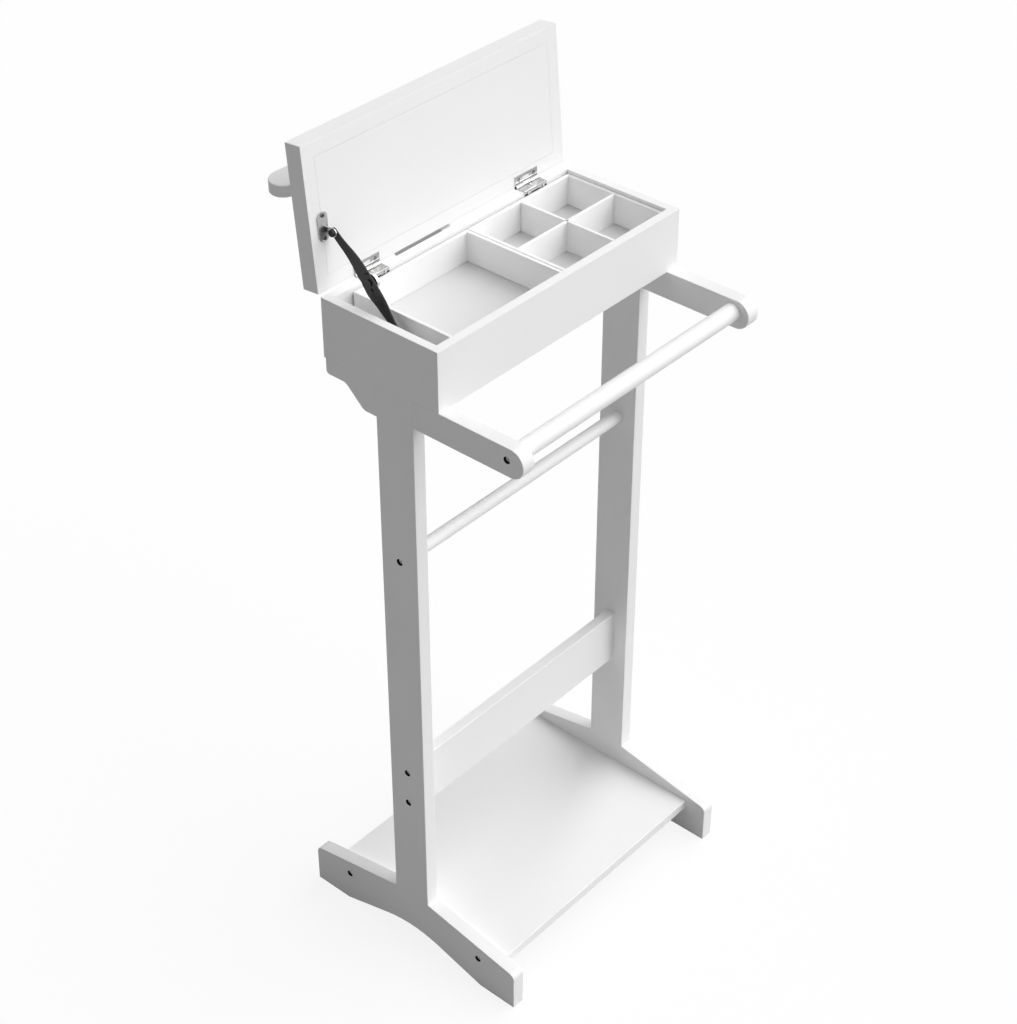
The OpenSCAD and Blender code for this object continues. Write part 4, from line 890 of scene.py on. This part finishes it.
# Hinge trim, with the lid closed: painted shade in the pressed lines across the leaves and
# beside the barrel, painted highlights on the folds, a tongue between the leaves with painted
# shade along one side, dark ends of the barrels, painted shade in the flange's slot and at its
# ends, and painted shade for the sunk ring and cross at each screw
hingeTrim = {
    "centres": [sum(corner.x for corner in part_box("hinge_wall_leaf_" + side)) / 2
                for side in ("left", "right")],
    "reach": 20.8 * mm,          # half the length of the pressed lines
    "proud": 0.05 * mm,
    "wallShadeLines": [2.2 * mm, 4.6 * mm, 7.0 * mm, 9.3 * mm],   # painted shade of the pressed lines, from the leaf's front edge
    "wallShadeLine": 0.3 * mm,        # width of each
    "highlightBand": 1.3 * mm,           # width of the painted highlights on the folds
    "lidPaintedHighlight": 3.2 * mm,        # middle of the lid leaf's painted highlight, from its barrel side
    "foldShadeLine": 1.2 * mm,        # width of the painted shade lines beside the barrel
    "lidFold": 1.5 * mm,         # their middles, from the barrel side of each leaf
    "wallFold": 0.9 * mm,
    "tongue": (5 * mm, 7 * mm, 0.17 * mm),                   # width, length, height
    # width of the painted shade along one side of the tongue
    "tongueShade": 0.7 * mm,
    "screwSpread": 14.33 * mm,
    "screwRing": (1.9 * mm, 2.6 * mm),
    "cross": (1.3 * mm, 0.35 * mm),                          # half length, half width
    "leaf": 0.95 * mm,
    "leafEdge": 98.8 * mm,       # where both leaves meet the barrel
    "lidLeafFrom": 87.0 * mm,
    "slot": (7.6 * mm, 2.4 * mm),                            # half width, height of the flange's slot, filled with painted shade
    "flangeEndShade": (16.8 * mm, 21.0 * mm),                     # painted shade at the ends of the flange
    "flangeShadeBand": (0.4 * mm, 2.6 * mm),                      # their lower and upper edge
    "flangeFace": 0.2 * mm,                                  # depth of the slot's shade
    "barrelEnd": 2.2 * mm,                                   # radius
    "barrelReach": 0.7 * mm,                                 # past the pressed lines
    "steps": 24,                                             # round a screw or barrel
}


def strip(low, high, ease=0.02 * mm):
    # Small board from corner to corner, as one closed surface
    low, high = np.asarray(low, float), np.asarray(high, float)
    return ringSurface(low, high, boardRows(low, high, ease), ease, steps=1)


def band(middle, halfX, halfY, halfZ):
    # Strip about a middle point
    half = np.array([halfX, halfY, halfZ])
    return strip(np.asarray(middle) - half, np.asarray(middle) + half)


def paintedScrewShade(place, outward, ring, cross, proud):
    # Painted shade for the sunk ring round a screw head and the cross in it, on a face that looks along Y or Z
    inner, outer = ring
    rows = [(-proud, inner), (proud, inner), (proud, outer), (-proud, outer),
            (-proud, inner)]
    reach, half = cross
    upright = abs(outward[1]) > 0.5
    bars = [(reach, half), (half, reach)]
    return [turnedSurface(rows, place, outward, hingeTrim["steps"])] + [
        band(place, a, proud if upright else b, b if upright else proud) for a, b in bars]


def makeHingeTrim(setup):
    # Strips and marks on three faces: the wall leaves' tops and flanges, which stay on
    # the box, and the lid leaves' undersides, drawn closed and turned open
    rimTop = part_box("box_rear")[1].z
    wallTop, lidFace = rimTop + setup["leaf"], 2 * hingeAxis[2] - rimTop - setup["leaf"]
    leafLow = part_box("hinge_wall_leaf_left")[0]
    proud, reach, foldShadeHalf = setup["proud"], setup["reach"], setup["foldShadeLine"] / 2
    wide, length, height = setup["tongue"]
    shade = setup["tongueShade"]
    slotHalf, slotHeight = setup["slot"]
    highlightBand = setup["highlightBand"] / 2
    wallPaintedShade, lidPaintedShade, wallPaintedHighlight, lidPaintedHighlight, tongues = [], [], [], [], []
    for centre in setup["centres"]:
        lidY = setup["leafEdge"] - setup["lidFold"]
        wallY = setup["leafEdge"] - setup["wallFold"]
        # Painted shade in the pressed line beside the barrel on each leaf
        lidPaintedShade.append(band((centre, lidY, lidFace), reach, foldShadeHalf, proud))
        wallPaintedShade.append(band((centre, wallY, wallTop), reach, foldShadeHalf, proud))
        # Painted highlights along the folds of both leaves
        lidPaintedHighlight.append(band((centre, setup["leafEdge"] - setup["lidPaintedHighlight"], lidFace),
                             reach, highlightBand, proud))
        wallPaintedHighlight.append(band((centre, leafLow.y + highlightBand, wallTop), reach, highlightBand, proud))
        for side in (-1, 1):
            middle = centre + side * (wide / 2 + reach) / 2
            # Painted shade in the pressed lines across the wall leaf
            for line in setup["wallShadeLines"]:
                wallPaintedShade.append(band((middle, leafLow.y + line, wallTop),
                                     (reach - wide / 2) / 2, setup["wallShadeLine"] / 2, proud))
            screwX = centre + side * setup["screwSpread"]
            screwY = (setup["lidLeafFrom"] + setup["leafEdge"]) / 2
            # Painted shade for each screw of the lid leaf
            lidPaintedShade += paintedScrewShade((screwX, screwY, lidFace), (0, 0, -1),
                                 setup["screwRing"], setup["cross"], proud)
            # Painted shade at the ends of the flange's lower edge
            near, far = setup["flangeEndShade"]
            low, high = setup["flangeShadeBand"]
            wallPaintedShade.append(band((centre + side * (near + far) / 2, leafLow.y,
                                  leafLow.z + (low + high) / 2),
                                 (far - near) / 2, proud, (high - low) / 2))
            if centre > 0:           # the other hinge's ends are as bright as its barrel
                end = (centre + side * (reach + setup["barrelReach"]), *hingeAxis[1:])
                radius = setup["barrelEnd"]
                wallPaintedShade.append(turnedSurface(
                    [(0, 0), (0, radius), (2 * proud, radius - proud), (2 * proud, 0)],
                    end, (side, 0, 0), setup["steps"]))
        # Painted shade: a black strip that fills the flange's slot
        wallPaintedShade.append(strip(
            (centre - slotHalf, leafLow.y + setup["flangeFace"], leafLow.z),
            (centre + slotHalf, leafLow.y + setup["leaf"], leafLow.z + slotHeight)))
        front = wallY - foldShadeHalf - length
        tongues.append(strip((centre - wide / 2 + shade, front, wallTop - proud),
                             (centre + wide / 2, wallY - foldShadeHalf, wallTop + height), proud))
        # Painted shade along the left side of the tongue
        wallPaintedShade.append(strip((centre - wide / 2, front, wallTop - proud),
                              (centre - wide / 2 + shade, wallY - foldShadeHalf,
                               wallTop + height / 2)))
    # Black strips of painted shade and chrome strips of painted highlight, as pieces of their own
    trimPiece("hinge_wall_painted_shade", wallPaintedShade, "root", "black_steel")
    trimPiece("hinge_wall_painted_highlight", wallPaintedHighlight, "root", "chrome_steel")
    trimPiece("hinge_tongues", tongues, "root", "nickel_steel")
    trimPiece("hinge_lid_painted_highlight", [openLid(grid) for grid in lidPaintedHighlight], "lid",
              "chrome_steel")
    trimPiece("hinge_lid_painted_shade", [openLid(grid) for grid in lidPaintedShade], "lid", "black_steel")


makeHingeTrim(hingeTrim)
print("hinge trim made")


# Stay trim: a hub with a domed cap outside the ear, and painted shade for the sunk ring and cross of the plate's
# screws
stayTrim = {
    "hub": 4.6 * mm,             # radius
    "hubLength": 3.2 * mm,
    "hubSunk": 0.6 * mm,         # start of the hub inside the rivet's head
    "dome": 1.0 * mm,
    "domeSteps": 6,
    "hubSteps": 40,
    "headDepth": 0.3 * mm,       # how deep a screw's top face is looked for
    "screwRing": (1.7 * mm, 2.6 * mm),
    "cross": (1.5 * mm, 0.6 * mm),
    "proud": 0.06 * mm,
}


def makeStayTrim(setup):
    # Hub: straight out, then a quarter ellipse to its middle. Marks of painted shade, for the
    # sunk ring and cross: on the outermost face of each screw's head, found with the lid turned shut
    pivot = jointNamed("stay_top_pivot")["pos_m"]
    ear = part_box("stay_top_rivet")[0].x
    hub, dome, length = setup["hub"], setup["dome"], setup["hubLength"]
    turn = np.radians(np.linspace(0, 90, setup["domeSteps"] + 1))
    cap = np.column_stack([length - dome + dome * np.sin(turn), hub * np.cos(turn)])
    rows = np.concatenate([[(0, 0), (0, hub)], cap])
    hubGrid = turnedSurface(rows, (ear + setup["hubSunk"], *pivot[1:]), (-1, 0, 0),
                            setup["hubSteps"])
    trimPiece("stay_top_hub", [hubGrid], "lid", "black_steel")
    marks = []
    corners = cornersOf("stay_bracket_screws")
    upper = corners[:, 2] > corners[:, 2].mean()
    for group in (corners[upper], corners[~upper]):
        closed = turnLid(group, -lidAngle)
        face = closed[:, 2].min()
        head = closed[closed[:, 2] < face + setup["headDepth"]]
        middle = (head.min(axis=0) + head.max(axis=0)) / 2
        middle[2] = face
        # Painted shade for the sunk ring and cross of each screw
        marks += paintedScrewShade(middle, (0, 0, -1), setup["screwRing"], setup["cross"],
                           setup["proud"])
    trimPiece("stay_plate_screw_shade", [openLid(grid) for grid in marks], "lid",
              "black_steel")


makeStayTrim(stayTrim)
print("stay trim made")


# Every CAD node gets its slot's finish, for those that still show
for node, piece in frame["nodes"].items():
    piece.data.materials.clear()
    piece.data.materials.append(materials[slotOf[node]])
print("all pieces finished")
